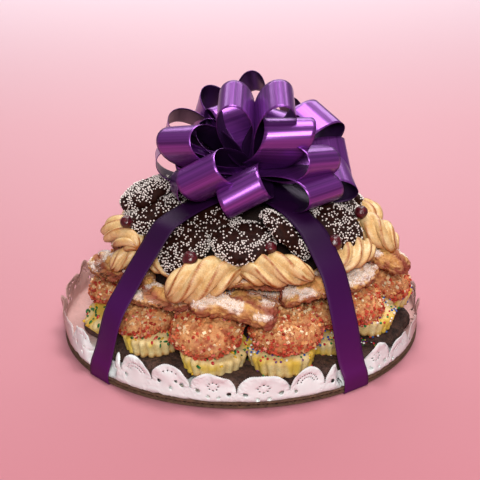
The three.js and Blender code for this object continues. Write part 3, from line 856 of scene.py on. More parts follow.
def pastry_shape(reach, seed):
    """A strip of flaky dough folded over on itself, with blunt, torn ends."""
    flap = 1.9 + 0.5 * math.sin(3.1 * seed)
    width, height = reach * PASTRY_WIDTH, reach * PASTRY_HEIGHT

    def turn_from_flap(along, angle):
        return (angle - flap - 0.9 * along) % TAU

    def radius_at(along, angle):
        turn = turn_from_flap(along, angle)
        step = 1.17 - 0.42 * turn / TAU
        lip = 0.1 * np.exp(-((turn / 0.2) ** 2))
        square = (np.abs(np.cos(angle)) ** 3 + np.abs(np.sin(angle)) ** 3) ** (-1 / 3)
        taper = 0.84 + 0.16 * np.sin(2.3 * along + seed)
        return (step + lip) * square * taper

    shape, along, angle = long_grid(reach * 0.97, width, height, 84, 110, radius_at, blunt=7)
    shape.points[:, 0] += shape.points[:, 1] * (0.45 if seed % 3 else -0.3)
    uneven(shape, 1.5, 0.8, seed)
    flake = 1 - np.abs(noise(shape.points * [1, 1, 1.8], 4.2, seed + 2))
    crags = patches(shape.points, 9, seed + 9, -0.2, 0.4)
    shape.pushed(2.0 * flake**3 + (0.6 + 0.9 * crags) * noise(shape.points, 2.4, seed + 3) - 1.0)
    shape.points[:, 2] = np.maximum(shape.points[:, 2], 0)
    turn = turn_from_flap(along, angle)
    seam = np.exp(-(((turn - TAU + 0.15) / 0.35) ** 2)) + np.exp(-(((turn - 0.02) / 0.1) ** 2))
    share = shape.points[:, 2] / height
    ends = smoothstep(np.abs(along), 0.7, 0.97)
    crust = patches(shape.points, 5, seed + 8, -0.1, 0.35) * smoothstep(share, 0.95, 0.5)
    shape.set("jam", np.clip(seam * 0.8 + 0.75 * crust + 0.3 * ends, 0, 0.95))
    shape.set("tone", np.clip(0.75 * smoothstep(share, 0.6, 0.2) + 0.6 * ends, 0, 1))
    patch = patches(shape.points, 10, seed + 5, -0.3, 0.1)
    shape.set("cover", 0.9 * patch * smoothstep(share, 0.5, 0.8) * (1 - 0.8 * seam.clip(0, 1)))
    return shape


def spritz_shape(reach, seed):
    """A thick piped twist, browned along its crests, with painted shade in its grooves."""
    twist = math.radians(SPRITZ_TWIST) * (1 if seed % 2 else -1)
    width, height = reach * SPRITZ_WIDTH, reach * SPRITZ_HEIGHT

    def phase_at(along, angle):
        return SPRITZ_RIDGES * (angle + along * twist / 2) + 1.7 * seed

    def lobe_at(phase):
        return np.sin(math.pi * (phase % TAU / TAU) ** 0.62)

    def radius_at(along, angle):
        phase = phase_at(along, angle)
        return (1 - 0.14 * along) * (0.6 + 0.48 * lobe_at(phase) ** 0.8 + 0.012 * np.cos(3 * phase))

    shape, along, angle = long_grid(reach, width, height, 76, 132, radius_at)
    uneven(shape, 0.9, 0.16, seed)
    lobe = lobe_at(phase_at(along, angle))
    share = shape.points[:, 2] / height
    crest = smoothstep(lobe, 0.93, 0.99) * patches(shape.points, 12, seed, -0.7, 0.1)
    low = smoothstep(share, 0.3, 0.02)
    ends = smoothstep(np.abs(along), 0.8, 1.0)
    # Painted shade: the grooves between the lobes are browned a little.
    valley = smoothstep(lobe, 0.35, 0.0)
    shape.set("tone", np.clip(0.9 * crest + 0.75 * low + 0.4 * ends + 0.2 * valley, 0, 1))
    return shape


MAKERS = {
    "cocoa": cocoa_shape,
    "butter": butter_shape,
    "nut": nut_shape,
    "nonpareil": nonpareil_shape,
    "pastry": pastry_shape,
    "spritz": spritz_shape,
}


class Pose:
    """Where a cookie stands: the middle of its base, its axes (rows: long, cross, up) and
    the reach of its outline."""

    def __init__(self, middle, axes, reach):
        self.middle = np.asarray(middle, float)
        self.axes = np.asarray(axes, float)
        self.reach = reach

    def placed(self, shape):
        shape.points = shape.points @ self.axes + self.middle
        return shape


def unit(vector):
    return np.asarray(vector, float) / np.linalg.norm(vector)


# How a solid's base is told: among its largest triangles, which lie level and face alike.
LARGEST_FACES = 60
SAME_LEVEL = 0.3
SAME_FACING = 0.9995
CIRCLE_STEPS = 1500


def pose_of(node):
    """Reads a cookie's pose off its solid: its widest flat face is the base, and the circle
    round its outline gives the middle and the reach."""
    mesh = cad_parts[node].data
    mesh.calc_loop_triangles()
    faces = np.array([triangle.vertices for triangle in mesh.loop_triangles])
    spots = np.array([vertex.co for vertex in mesh.vertices]) * METRE
    corners = spots[faces]
    flat = crosses(corners)
    area = np.linalg.norm(flat, axis=1)
    facing = flat / np.maximum(area, 1e-9)[:, None]
    base, most = 0, 0
    for face in np.argsort(-area)[:LARGEST_FACES]:
        level = np.abs((corners.mean(1) - corners[face].mean(0)) @ facing[face]) < SAME_LEVEL
        same = area[level & (facing @ facing[face] > SAME_FACING)].sum()
        if same > most:
            base, most = face, same
    up = -facing[base]
    first = unit(np.cross((0, 1, 0.1), up))
    second = np.cross(up, first)
    outline = np.column_stack([spots @ first, spots @ second])
    middle = outline.mean(0)
    for step in range(1, CIRCLE_STEPS):
        far = outline[np.argmax(np.sum((outline - middle) ** 2, axis=1))]
        middle = middle + (far - middle) / (step + 1)
    reach = math.sqrt(np.max(np.sum((outline - middle) ** 2, axis=1)))
    apart = np.sum((outline[:, None] - outline[None]) ** 2, axis=-1)
    one, other = np.unravel_index(np.argmax(apart), apart.shape)
    long = unit(outline[other] - outline[one])
    along = long[0] * first + long[1] * second
    place = middle[0] * first + middle[1] * second + up * (corners[base].mean(0) @ up)
    return Pose(place, [along, np.cross(up, along), up], reach)


def heap_pose(bearing, reach, height, lean, turn, size):
    """A pose on the heap, for a cookie whose top leans outwards."""
    angle = math.radians(bearing)
    outwards = np.array([math.sin(angle), -math.cos(angle), 0])
    sideways = np.array([math.cos(angle), math.sin(angle), 0])
    tilt = math.radians(lean)
    up = outwards * math.sin(tilt) + np.array([0, 0, math.cos(tilt)])
    spin = math.radians(turn)
    along = math.cos(spin) * sideways + math.sin(spin) * np.cross(up, sideways)
    place = outwards * reach + np.array([HEAP_X, 0, HEAP_FLOOR + height])
    return Pose(place, [along, np.cross(up, along), up], size)


def back_poses():
    """The cookies round the back: each layer goes on as it does at the front."""
    for kind, reach, height, lean, apart, size, right, left in BACK_LAYERS:
        span = 360 + left - right
        steps = round(span / math.degrees(apart / reach))
        for number in range(1, steps):
            bearing = right + span * number / steps + rng.uniform(-2, 2)
            yield kind, heap_pose(
                bearing,
                reach + rng.uniform(-3, 2),
                height + rng.uniform(-1, 1.5),
                lean + rng.uniform(-6, 6),
                rng.uniform(-25, 25),
                size * rng.uniform(0.93, 1.03),
            )
    for bearing, reach in CROWN:
        yield "nonpareil", heap_pose(bearing, reach, CROWN_HEIGHT, CROWN_LEAN, 0, CROWN_SIZE)
    for kind, bearing, reach, height, lean, size in HIDDEN:
        yield kind, heap_pose(bearing, reach, height, lean, 0, size)


# ---------------------------------------------------------------- ribbon tie


def strap_points(bearing, run):
    """The middle line of a strap from the middle of the underside round the rim to the knot."""
    rim = [(BOARD_RADIUS + past, height) for past, height in STRAP_ROUND_RIM]
    line = np.array([(0, TIE_UNDER)] + rim + run + [(0, TIE_TOP)], float)
    angle = math.radians(bearing)
    share = smoothstep(line[:, 1], 60, 134)
    points = np.column_stack(
        [
            line[:, 0] * math.sin(angle) + share * KNOT[0],
            -line[:, 0] * math.cos(angle) + share * KNOT[1],
            line[:, 1],
        ]
    )
    straight = 2
    return np.vstack([points[:straight], curve_through(points[straight:], STRAP_SAMPLES)])


class Strap:
    """One of the four straps that go from under the board up to the knot."""

    def __init__(self, bearing, run):
        angle = math.radians(bearing)
        self.across = np.array([math.cos(angle), math.sin(angle), 0])
        self.line = strap_points(bearing, run)
        along = np.gradient(self.line, axis=0)
        self.facing = np.cross(along, self.across)
        self.facing /= np.linalg.norm(self.facing, axis=1, keepdims=True)
        outwards = np.array([math.sin(angle), -math.cos(angle), 0.3])
        if self.facing[len(self.line) // 2] @ outwards < 0:
            self.facing = -self.facing
        free = smoothstep(self.line[:, 2], 14, 24)[:, None]
        self.line += self.facing * free * STRAP_WAVE * noise(self.line, STRAP_WAVE_LENGTH, 6)[:, None]
        self.twist = free[:, 0] * STRAP_TWIST * noise(self.line, 1.6 * STRAP_WAVE_LENGTH, 7)

    def depth_below(self, points):
        """How far each point stands out past the strap, its share of the strap's width from
        the middle, and the strap's facing there."""
        upper = self.line[:, 2] > 6
        line, facing = self.line[upper], self.facing[upper]
        offset = points[:, None] - line[None]
        sideways = offset @ self.across
        flat = offset - sideways[..., None] * self.across
        nearest = np.argmin(np.sum(flat**2, axis=-1), axis=1)
        rows = np.arange(len(points))
        out = np.sum(offset[rows, nearest] * facing[nearest], axis=1)
        return out, np.abs(sideways[rows, nearest]) / (TIE_WIDTH / 2), facing[nearest]

    def press(self, points):
        """Presses in whatever stands out past the strap."""
        out, share, facing = self.depth_below(points)
        excess = np.clip(out + 0.8, 0, None) * smoothstep(share, 1.25, 1.04)
        excess[out > 40] = 0
        return points - facing * excess[:, None]

    def covers(self, points):
        """Which points lie under the strap or would stick out through it."""
        out, share, _ = self.depth_below(points)
        return (share < 1.08) & (out > -4) & (out < 30)

    def shape(self):
        columns = np.linspace(-0.5, 0.5, 9)
        crown = TIE_CROWN * (1 - (2 * columns) ** 2)
        twist = self.twist[:, None]
        across = np.cos(twist) * self.across + np.sin(twist) * self.facing
        grid = self.line[:, None] + columns[None, :, None] * TIE_WIDTH * across[:, None]
        rise = smoothstep(self.line[:, 2], 4, 12)[:, None] * crown[None]
        grid = grid + self.facing[:, None] * rise[..., None]
        return thick_sheet(grid, TIE_THICKNESS)


# ---------------------------------------------------------------- bow


def loop_shape(bearing, rise, length, gap, bank, skew):
    """One loop of the bow, from the knot out and back."""
    turn, climb = math.radians(bearing), math.radians(rise)
    outwards = Vector((math.sin(turn) * math.cos(climb), -math.cos(turn) * math.cos(climb), math.sin(climb)))
    level = Vector((math.cos(turn), math.sin(turn), 0))
    width = Matrix.Rotation(math.radians(bank), 3, outwards) @ level
    side = np.array(outwards.cross(width))
    outwards, width = np.array(outwards), np.array(width)
    phase = np.linspace(LOOP_START, TAU - LOOP_START, LOOP_SAMPLES)
    reach = ((1 - np.cos(phase)) / 2) ** LOOP_BLUNTNESS
    offset = -gap * LOOP_GAP_SHARE * np.sin(phase) * np.sin(phase / 2)
    middle = np.array(BOW_MIDDLE) + reach[:, None] * length * outwards + offset[:, None] * side
    along = np.gradient(middle, axis=0)
    open_share = smoothstep(reach, 0, BOW_FLARE)
    across = width + skew * reach[:, None] * outwards
    facing = np.cross(along, across)
    facing /= np.linalg.norm(facing, axis=1, keepdims=True)
    columns = np.linspace(-0.5, 0.5, LOOP_COLUMNS)
    share = BOW_NECK + (1 - BOW_NECK) * open_share
    flat = columns[None, :, None] * (BOW_WIDTH * share)[:, None, None] * across[:, None]
    cup = (1 - open_share)[:, None] * BOW_CUP * BOW_WIDTH * (np.abs(2 * columns) ** 1.4 - 0.5)[None]
    grid = middle[:, None] + flat + cup[..., None] * facing[:, None]
    shape = thick_sheet(grid, BOW_FILM)
    run = np.cumsum(np.linalg.norm(along, axis=1)) + 10 * bearing
    shape.set("run", np.tile(np.repeat(run, LOOP_COLUMNS), 2))
    # Marks the inner face, whose colour is painted darker as shade.
    shape.set("inner", np.repeat([1, 0], LOOP_SAMPLES * LOOP_COLUMNS))
    return shape


def knot_shape():
    """The gathered middle that the loops come out of."""
    shape = turned(KNOT_PROFILE, 20, 40)
    shape.points += np.array(BOW_MIDDLE)
    return uneven(shape, 1.5, 0.6, 4)


# ---------------------------------------------------------------- doily


def outline_of_scallop():
    """The paper's edge over one scallop, from left to right: round, with fine teeth."""
    half = math.pi * DOILY_FOLD / SCALLOPS
    edge = []
    for step in range(SCALLOP_TEETH * 2 + 1):
        angle = math.pi - math.pi * step / (SCALLOP_TEETH * 2)
        radius = SCALLOP_RADIUS - (TOOTH_DEPTH if step % 2 else 0)
        x = max(-half, min(half, radius * math.cos(angle)))
        edge.append((x, SCALLOP_CENTRE + radius * math.sin(angle) * 1.03))
    edge[0] = (-half, SCALLOP_CENTRE)
    edge[-1] = (half, SCALLOP_CENTRE)
    return edge, half


def ring_of(centre, radius, angles):
    """Points on a circle, one at each angle in radians."""
    return [(centre[0] + radius * math.cos(a), centre[1] + radius * math.sin(a)) for a in angles]


def drop_hole(centre, size, turn):
    """A pointed hole like a drop."""
    points = []
    for i in range(10):
        angle = TAU * i / 10
        radius = size * (0.62 + 0.38 * math.cos(angle)) if i else size * 1.25
        points += ring_of(centre, radius, [angle + turn])
    return points


def pin_holes(centre, reach, bearings, size):
    """Six-sided pin holes on a circle, one at each angle."""
    spots = ring_of(centre, reach, map(math.radians, bearings))
    return [ring_of(spot, size, [TAU * i / 6 for i in range(6)]) for spot in spots]


def lace_holes(kind):
    """The holes of one scallop: drops near its foot with a rosette, rows of pin holes or a
    fan of large drops, by its kind."""
    centre = (0, SCALLOP_CENTRE)
    if kind == 0:
        holes = [drop_hole((10.8, 13.6), 2.5, 0.9), drop_hole((-10.8, 13.6), 2.5, math.pi - 0.9)]
        holes += [drop_hole((3.6, 9.8), 2.0, 1.3), drop_hole((-3.6, 9.8), 2.0, 1.8)]
        rosette = (0, SCALLOP_CENTRE + 4.6)
        return holes + pin_holes(rosette, 3.6, range(0, 360, 45), 0.7)
    if kind == 1:
        holes = [drop_hole((-10.6, 12.6), 2.2, math.pi - 0.9)]
        holes += pin_holes(centre, 10.6, range(24, 157, 12), 0.62)
        return holes + pin_holes(centre, 7.6, range(34, 147, 16), 0.62)
    holes = [drop_hole((9.4, 15.4), 2.9, 1.0), drop_hole((-9.4, 15.4), 2.5, math.pi - 1.0)]
    holes += [drop_hole((0, 10.6), 2.3, 1.57), drop_hole((4.6, 17.8), 1.9, 0.9)]
    return holes + pin_holes(centre, 11.4, (60, 78, 96, 114), 0.66)


def inside(points, ring):
    """Which points lie inside a closed ring."""
    ring = np.asarray(ring)
    result = np.zeros(len(points), bool)
    x, y = points[:, 0], points[:, 1]
    for (x1, y1), (x2, y2) in zip(ring, np.roll(ring, -1, axis=0)):
        spans = (y1 > y) != (y2 > y)
        with np.errstate(divide="ignore", invalid="ignore"):
            result ^= spans & (x < (x2 - x1) * (y - y1) / (y2 - y1) + x1)
    return result


def flat_scallop(kind):
    """One repeat of the lace as flat paper: points (across, up) and triangles."""
    edge, half = outline_of_scallop()
    foot = DOILY_INNER - DOILY_FOLD
    side = list(np.arange(foot, SCALLOP_CENTRE, LACE_EDGE_STEP)[1:])
    outline = [(-half, foot)] + [(x, foot) for x in np.linspace(-half, half, 9)[1:-1]] + [(half, foot)]
    outline += [(half, y) for y in side] + edge[::-1] + [(-half, y) for y in side[::-1]]
    holes = lace_holes(kind)
    inner = [
        (x, y)
        for x in np.arange(-half + 1.8, half - 1, LACE_GRID)
        for y in np.arange(foot + 2, SCALLOP_CENTRE + SCALLOP_RADIUS, LACE_GRID)
    ]
    inner = np.array(inner) + rng.uniform(-LACE_JITTER, LACE_JITTER, (len(inner), 2))
    on_paper = inside(inner, outline)
    keep = on_paper & (np.hypot(inner[:, 0], inner[:, 1] - SCALLOP_CENTRE) < SCALLOP_RADIUS - 0.9)
    for hole in holes:
        middle = np.mean(hole, axis=0)
        keep &= np.hypot(*(inner - middle).T) > np.ptp(hole, axis=0).max() / 2 + 0.7
    inner = inner[keep | (on_paper & (inner[:, 1] < 0))]
    points, edges = [], []
    for ring in [outline] + holes:
        start = len(points)
        points += [Vector(map(float, spot)) for spot in ring]
        edges += [(start + i, start + (i + 1) % len(ring)) for i in range(len(ring))]
    points += [Vector(map(float, spot)) for spot in inner]
    spots, _, faces, _, _, _ = delaunay_2d_cdt(points, edges, [], 0, 1e-4)
    spots = np.array(spots)[:, :2]
    faces = np.array(faces)
    middles = spots[faces].mean(1)
    kept = inside(middles, outline)
    for hole in holes:
        kept &= ~inside(middles, hole)
    return spots, faces[kept]


def strap_pressure(bearing):
    """From 0 to 1: how much a strap presses the paper down at a bearing."""
    nearest = np.full(np.shape(bearing), 999.0)
    for strap_bearing, _ in STRAPS.values():
        apart = np.abs((bearing - strap_bearing + 540) % 360 - 180)
        nearest = np.minimum(nearest, apart)
    return 1 - smoothstep(nearest, 4.5, 8)


def by_bearing(bearing, table):
    """Reads a table of (bearing, value) at any bearing."""
    places, values = zip(*table)
    return np.interp(bearing, places, values)


def lace_all_round():
    """The repeats one after another as flat paper: the points within each, their triangles,
    and which repeat each point belongs to."""
    kinds = [flat_scallop(kind) for kind in range(3)]
    chosen = [kinds[number % 3] for number in range(SCALLOPS)]
    counts = [len(spots) for spots, _ in chosen]
    starts = np.cumsum([0] + counts[:-1])
    flat = np.concatenate([spots for spots, _ in chosen])
    faces = np.concatenate([tris + start for (_, tris), start in zip(chosen, starts)])
    return flat, faces, np.repeat(np.arange(SCALLOPS), counts)


def doily_shape():
    """The lace laid on the board and bent up at its edge."""
    flat, faces, order = lace_all_round()
    across = flat[:, 0] + order * TAU * DOILY_FOLD / SCALLOPS
    up = flat[:, 1]
    even = (np.degrees(across / DOILY_FOLD + math.pi / SCALLOPS) + 180) % 360 - 180
    bearing = np.interp(even, LACE_EVEN, LACE_LAID)
    angle = np.radians(bearing)
    pressure = strap_pressure(bearing)
    up = up - SCALLOP_HEIGHT * (1 - by_bearing(bearing, LACE_STAND))
    raised = np.clip(up, 0, None)
    height = raised + (np.minimum(raised, LACE_PRESSED_HEIGHT) - raised) * pressure
    curl = np.clip(raised / DOILY_BEND, 0, math.pi / 2)
    radius = DOILY_FOLD + np.minimum(up, 0) + DOILY_BEND * np.sin(curl)
    standing = np.clip(height - DOILY_BEND * 0.57, 0, None)
    z = np.where(raised > 0, DOILY_BEND * (1 - np.cos(curl)) + standing, 0)
    ring = np.column_stack([np.sin(angle) * 150, -np.cos(angle) * 150, z])
    wave = sum(depth * noise(ring, size, seed) for size, seed, depth in LACE_WAVES)
    lean = by_bearing(bearing, LACE_LEAN) * (z / SCALLOP_HEIGHT) ** 1.3
    radius = radius + wave * smoothstep(z, 2, 26) + lean
    radius = radius - LACE_PRESSED_DEPTH * pressure * smoothstep(raised, 0, 4)
    radius = np.minimum(radius, DOILY_RIM)
    points = np.column_stack([radius * np.sin(angle), -radius * np.cos(angle), DOILY_BASE + 0.1 + z])
    points[:, 2] += 0.35 * np.abs(noise(ring, 12, 9)) * (up < 0)
    shape = Shape(points, tris=faces)
    flat_up = flat[:, 1] - SCALLOP_CENTRE
    centre = np.hypot(flat[:, 0], flat_up)
    spoke = np.arctan2(flat_up, flat[:, 0])
    pleat = (0.5 + 0.5 * np.cos(spoke * 2 * SCALLOP_TEETH)) * smoothstep(centre, 9.5, 13.5)
    shape.set("pleat", pleat)
    # Painted shade on the lace at the left and right sides, by bearing: pinkish-beige there.
    aside = np.abs(bearing)
    shape.set("painted_shade", smoothstep(aside, 58, 76) * smoothstep(aside, 135, 112))
    return thickened(welded(shape), PAPER)


def welded(shape, apart=0.01):
    """Joins points that lie on each other."""
    cells = np.round(shape.points / apart).astype(int)
    _, first, where = np.unique(cells, axis=0, return_index=True, return_inverse=True)
    where = where.ravel()
    whole = Shape(shape.points[first], where[shape.quads], where[shape.tris])
    for name, value in shape.values.items():
        whole.values[name] = value[first]
    return whole


def thickened(shape, thickness):
    """Gives an open sheet of triangles a back and rims, so that it is closed."""
    normals = shape.normals()
    count = len(shape.points)
    tris = shape.tris
    edges = np.concatenate([tris[:, [0, 1]], tris[:, [1, 2]], tris[:, [2, 0]]])
    known = {tuple(edge) for edge in edges}
    rim = np.array([edge for edge in edges if (edge[1], edge[0]) not in known])
    sides = np.stack([rim[:, 1], rim[:, 0], rim[:, 0] + count, rim[:, 1] + count], -1)
    points = np.vstack([shape.points + normals * thickness / 2, shape.points - normals * thickness / 2])
    whole = Shape(points, sides, np.concatenate([tris, tris[:, ::-1] + count]))
    for name, value in shape.values.items():
        whole.values[name] = np.concatenate([value, value])
    return whole


# ---------------------------------------------------------------- board and core


def board_shape():
    """Two liners with the wavy layer between them showing at the rim."""
    low, high = BOARD_BASE, BOARD_TOP
    liners = []
    for base, top in ((low, low + BOARD_LINER), (high - BOARD_LINER, high)):
        profile = [(0, base), (BOARD_RADIUS - 0.1, base), (BOARD_RADIUS, (base + top) / 2)]
        profile += [(BOARD_RADIUS - 0.1, top), (0, top)]
        liners.append(lathed(profile, BOARD_SEGMENTS))
    reach, base, top = BOARD_RADIUS - 3.5, low + 0.4, high - 0.4
    inner = lathed([(0, base), (reach, base), (reach, top), (0, top)], BOARD_SEGMENTS)
    angle = np.linspace(0, TAU, 1201)
    radius = np.array([BOARD_RADIUS - 4, BOARD_RADIUS - 0.5])
    x = radius[None] * np.cos(angle)[:, None]
    y = radius[None] * np.sin(angle)[:, None]
    middle = (low + high) / 2
    swing = (high - low) / 2 - BOARD_LINER - 0.1
    z = middle + swing * np.sin(TAU * x / FLUTE_PITCH)
    wave = thick_sheet(np.stack([x, y, z], -1), 0.3)
    return joined(liners + [inner, wave])


def core_shape():
    """The dark middle of the heap, short of every cookie's outer end."""
    shape = turned(CORE_PROFILE, 50, 140)
    shape.points += np.array([HEAP_X, 0, HEAP_FLOOR])
    return uneven(shape, 2.5, 1.5, 8)


# ---------------------------------------------------------------- loose pieces


def beads_on(shape, covered, centre):
    """White sugar beads, dense towards the rim and in drifts elsewhere."""
    points = shape.points
    drift = patches(points, 12, 21, -0.15, 0.25)
    rim = smoothstep(np.linalg.norm(points - centre, axis=1), 15, 22)
    likely = (0.14 + drift * (0.5 + rim)) * ~covered(points)
    places, facing = spots_on(shape, BEADS, BEAD_SPACING, likely)
    size = rng.uniform(0.6, 0.86, len(places))
    axes = np.eye(3)[None] * size[:, None, None]
    tints = np.array(colour("f3e9e2")) * rng.uniform(0.8, 1.0, (len(places), 1))
    return copies(small_ball(), places + facing * (size * 0.35)[:, None], axes, tints)


def sizes_between(count, *ranges):
    """Random sizes, one column for each range."""
    return np.column_stack([rng.uniform(least, most, count) for least, most in ranges])


def chips_on(shape, covered, rim, count, longest, form, tints=(RED_CHIPS, PALE_CHIPS)):
    """Chopped chips, thick at the rim: the first tints lie mostly there."""
    points = shape.points
    likely = (0.45 + rim + 0.6 * patches(points, 9, 31, -0.2, 0.4)) * ~covered(points)
    places, facing = spots_on(shape, count, 0.9 * longest, likely)
    count = len(places)
    low = -facing[:, 2] + rng.uniform(-0.9, 0.7, count) > -0.45
    size = sizes_between(count, (0.6, 1), (0.45, 0.8), (0.3, 0.6))
    axes = random_turns(count) * (size * longest)[:, :, None]
    number = rng.integers(0, 60, count)
    rim_tints, other_tints = (np.array([colour(code) for code in group]) for group in tints)
    at_rim, elsewhere = rim_tints[number % len(rim_tints)], other_tints[number % len(other_tints)]
    shades = np.where(low[:, None], at_rim, elsewhere) * rng.uniform(0.75, 1.1, (count, 1))
    stand = np.where(low, 0.55, 0.3)[:, None] * longest
    return copies(form, places + facing * stand, axes, shades)


def sprinkles_on(shape, covered, pose, round_ones):
    """Sprinkles on the top face and round the foot of a butter cookie."""
    local = (shape.points - pose.middle) @ pose.axes.T
    flat = np.hypot(local[:, 0], local[:, 1]) / pose.reach
    share = local[:, 2] / (pose.reach * ROUND_COOKIES["butter"][0])
    top = smoothstep(share, 0.7, 0.92)
    foot = smoothstep(share, 0.2, 0.02) * smoothstep(flat, 0.85, 0.93)
    drifts = 0.25 + 1.6 * patches(local, 11, 4, 0, 0.4)
    likely = (top * drifts + 0.9 * foot) * ~covered(shape.points)
    wanted = ROUND_SPRINKLES if round_ones else LEAF_SPRINKLES
    places, facing = spots_on(shape, wanted, SPRINKLE_SPACING, likely)
    count = len(places)
    codes = ROUND_TINTS if round_ones else LEAF_TINTS
    tints = np.array([colour(code) for code in codes])[rng.integers(0, len(codes), count)]
    if round_ones:
        size = np.repeat(sizes_between(count, (0.9, 1.2)), 3, 1)
    else:
        size = sizes_between(count, (1.5, 2.6), (1.0, 1.7), (0.6, 0.9))
    axes = random_turns(count) * size[:, :, None]
    return copies(small_ball(), places + facing * 0.3, axes, tints)


def sugar_on(shape, covered):
    """Grains of powdered sugar where the dust lies."""
    likely = shape.values["cover"] ** 2 * ~covered(shape.points)
    places, facing = spots_on(shape, GRAINS, GRAIN_SPACING, likely)
    count = len(places)
    size = rng.uniform(0.25, 0.6, (count, 1, 1))
    tints = np.array(colour("fbf3ee")) * rng.uniform(0.9, 1.02, (count, 1))
    return copies(small_grain(), places + facing * 0.1, random_turns(count) * size, tints)


def cherry_shape(node):
    """A wrinkled candied cherry where the node's box says."""
    low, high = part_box(node)
    middle = (low + high) * METRE / 2
    reach = max(high - low) * METRE / 2
    shape = turned([(across * reach, up * reach) for across, up in CHERRY_PROFILE], 26, 44)
    uneven(shape, 1.4, 0.5, int(middle.x))
    shape.points += np.array(middle)
    return shape


# ---------------------------------------------------------------- the whole


def build_ribbon(straps):
    """The tie and the bow, one piece each."""
    shapes = [strap.shape() for strap in straps]
    new_piece("ribbon_straps", joined(shapes), tie_finish(), ["ribbon_tie"], "tie_ribbon")
    loops = [loop_shape(*loop) for loop in LOOPS + INNER_LOOPS]
    new_piece("bow_loops", joined(loops + [knot_shape()]), bow_finish(), ["bow"], "bow_ribbon")


def build_cookies(straps):
    """The front cookies where their solids are, then the back ones, and what lies on them."""
    finishes = {
        "cocoa": cocoa_finish(),
        "butter": butter_finish(),
        "nut": nut_finish(),
        "nonpareil": chocolate_finish(),
        "pastry": pastry_finish(),
        "spritz": spritz_finish(),
        "cherry": cherry_finish(),
    }
    loose = collections.defaultdict(list)
    back = {kind: [] for kind in MAKERS}

    def covered(points):
        return np.any([strap.covers(points) for strap in straps], axis=0)

    def dressed(kind, pose, number, beads="beads"):
        shape = pose.placed(MAKERS[kind](pose.reach, number))
        for strap in straps:
            shape.points = strap.press(shape.points)
        if kind == "nonpareil":
            loose[beads].append(beads_on(shape, covered, pose.middle))
        if kind == "nut":
            height = pose.reach * ROUND_COOKIES["nut"][0]
            share = ((shape.points - pose.middle) @ pose.axes[2]) / height
            rim = 0.8 * smoothstep(share, 0.6, 0.15)
            loose["chips"].append(chips_on(shape, covered, rim, CHIPS, CHIP_LENGTH, small_block()))
            loose["crumbs"].append(chips_on(shape, covered, rim, CRUMBS, CRUMB_LENGTH, small_grain()))
        if kind == "butter":
            on_the_right = pose.middle[0] > 20
            loose["sprinkles"].append(sprinkles_on(shape, covered, pose, round_ones=on_the_right))
        if kind == "pastry":
            loose["sugar"].append(sugar_on(shape, covered))
            crust, browns = 1.4 * shape.values["jam"], (BROWN_CHIPS, BROWN_CHIPS)
            flakes = chips_on(shape, covered, crust, FLAKES, FLAKE_LENGTH, small_grain(), browns)
            loose["flakes"].append(flakes)
        return shape

    number = 0
    for node in sorted(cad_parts):
        kind = node.rsplit("_", 1)[0]
        if kind in MAKERS:
            number += 1
            new_piece("cookie_" + node, dressed(kind, pose_of(node), number), finishes[kind], [node], kind)
        if kind == "cherry":
            new_piece("fruit_" + node, cherry_shape(node), finishes[kind], [node], kind)
    for kind, pose in back_poses():
        number += 1
        back[kind].append(dressed(kind, pose, number, "back_beads"))
    for kind, shapes in back.items():
        new_piece("back_" + kind, joined(shapes), finishes[kind], ["heap_core"], kind)
    beads = tinted_finish("bead_sugar", 0.35)
    new_piece("sugar_beads", joined(loose["beads"]), beads, slot="nonpareil")
    new_piece("back_sugar_beads", joined(loose["back_beads"]), beads, slot="nonpareil")
    chopped = tinted_finish("chopped_nut", 0.45)
    new_piece("nut_chips", joined(loose["chips"]), chopped, slot="nut", smooth=False)
    new_piece("nut_crumbs", joined(loose["crumbs"]), chopped, slot="nut", smooth=False)
    new_piece("pastry_flakes", joined(loose["flakes"]), chopped, slot="pastry", smooth=False)
    new_piece("sprinkles", joined(loose["sprinkles"]), tinted_finish("sugar_sprinkle", 0.25), slot="butter")
    new_piece("powdered_sugar", joined(loose["sugar"]), tinted_finish("fine_sugar", 0.9), slot="pastry")


def build_stage():
    """A plain pale floor with painted light: its colour is darker and pinker at the front and lightens into
    the distance.
    """
    corners = [(x * FLOOR_REACH, y * FLOOR_REACH, 0) for x, y in ((-1, -1), (1, -1), (1, 1), (-1, 1))]
    mesh = bpy.data.meshes.new("floor")
    mesh.from_pydata(corners, [], [(0, 1, 2, 3)])
    floor = bpy.data.objects.new("floor", mesh)
    bpy.context.scene.collection.objects.link(floor)
    finish = Finish("pale_floor", 0.7, Specular_IOR_Level=0.2)
    away = finish.place_share("Y", FLOOR_PAINTED_LIGHT_FROM, FLOOR_PAINTED_LIGHT_TO)
    finish.paint(finish.ramp(away, [(place, colour(code)) for place, code in FLOOR_PAINTED_LIGHT]))
    mesh.materials.append(finish.material)


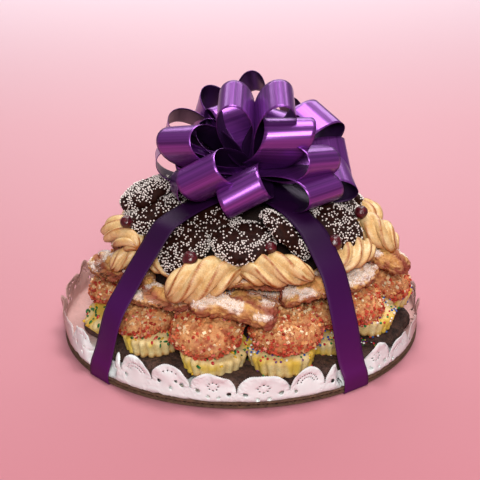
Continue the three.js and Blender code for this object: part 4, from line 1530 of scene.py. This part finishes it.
def add_light(name, place, aim, size, power, tint):
    """A soft rectangular light that faces its aim."""
    light = bpy.data.lights.new(name, "AREA")
    light.shape = "RECTANGLE"
    light.size, light.size_y = size
    light.energy = power
    light.color = tint
    lamp = bpy.data.objects.new(name, light)
    lamp.location = place
    lamp.rotation_euler = (Vector(aim) - Vector(place)).to_track_quat("-Z", "Y").to_euler()
    bpy.context.scene.collection.objects.link(lamp)


def build_lights():
    world = bpy.data.worlds.new("soft_room")
    world.use_nodes = True
    room = world.node_tree.nodes["Background"].inputs
    room["Color"].default_value = ROOM_TINT
    room["Strength"].default_value = ROOM_STRENGTH
    bpy.context.scene.world = world
    for light in LIGHTS:
        add_light(*light)
    bpy.context.scene.view_settings.view_transform = "Standard"


def build_camera():
    data = bpy.data.cameras.new("camera")
    data.lens = CAMERA_LENS
    data.sensor_width = CAMERA_SENSOR
    camera = bpy.data.objects.new("camera", data)
    place = Matrix.Translation(Vector(CAMERA_PLACE) / METRE)
    tilt = Matrix.Rotation(math.radians(90 - CAMERA_DOWN), 4, "X")
    camera.matrix_world = place @ tilt @ Matrix.Rotation(math.radians(CAMERA_TURN), 4, "Z")
    bpy.context.scene.collection.objects.link(camera)
    bpy.context.scene.camera = camera


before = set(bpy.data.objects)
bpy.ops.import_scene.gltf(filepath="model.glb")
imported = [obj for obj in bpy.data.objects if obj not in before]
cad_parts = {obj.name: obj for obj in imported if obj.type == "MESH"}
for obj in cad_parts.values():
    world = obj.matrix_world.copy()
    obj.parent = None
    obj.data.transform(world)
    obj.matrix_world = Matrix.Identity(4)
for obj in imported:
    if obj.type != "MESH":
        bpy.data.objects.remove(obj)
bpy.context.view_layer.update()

build_camera()
all_straps = [Strap(*route) for route in STRAPS.values()]
build_ribbon(all_straps)
new_piece("cake_board", board_shape(), board_finish(), ["board"], "board")
new_piece("lace_doily", doily_shape(), paper_finish(), ["doily"], "lace")
new_piece("heap_middle", core_shape(), core_finish(), ["heap_core"], "heap")
build_cookies(all_straps)
build_stage()
build_lights()
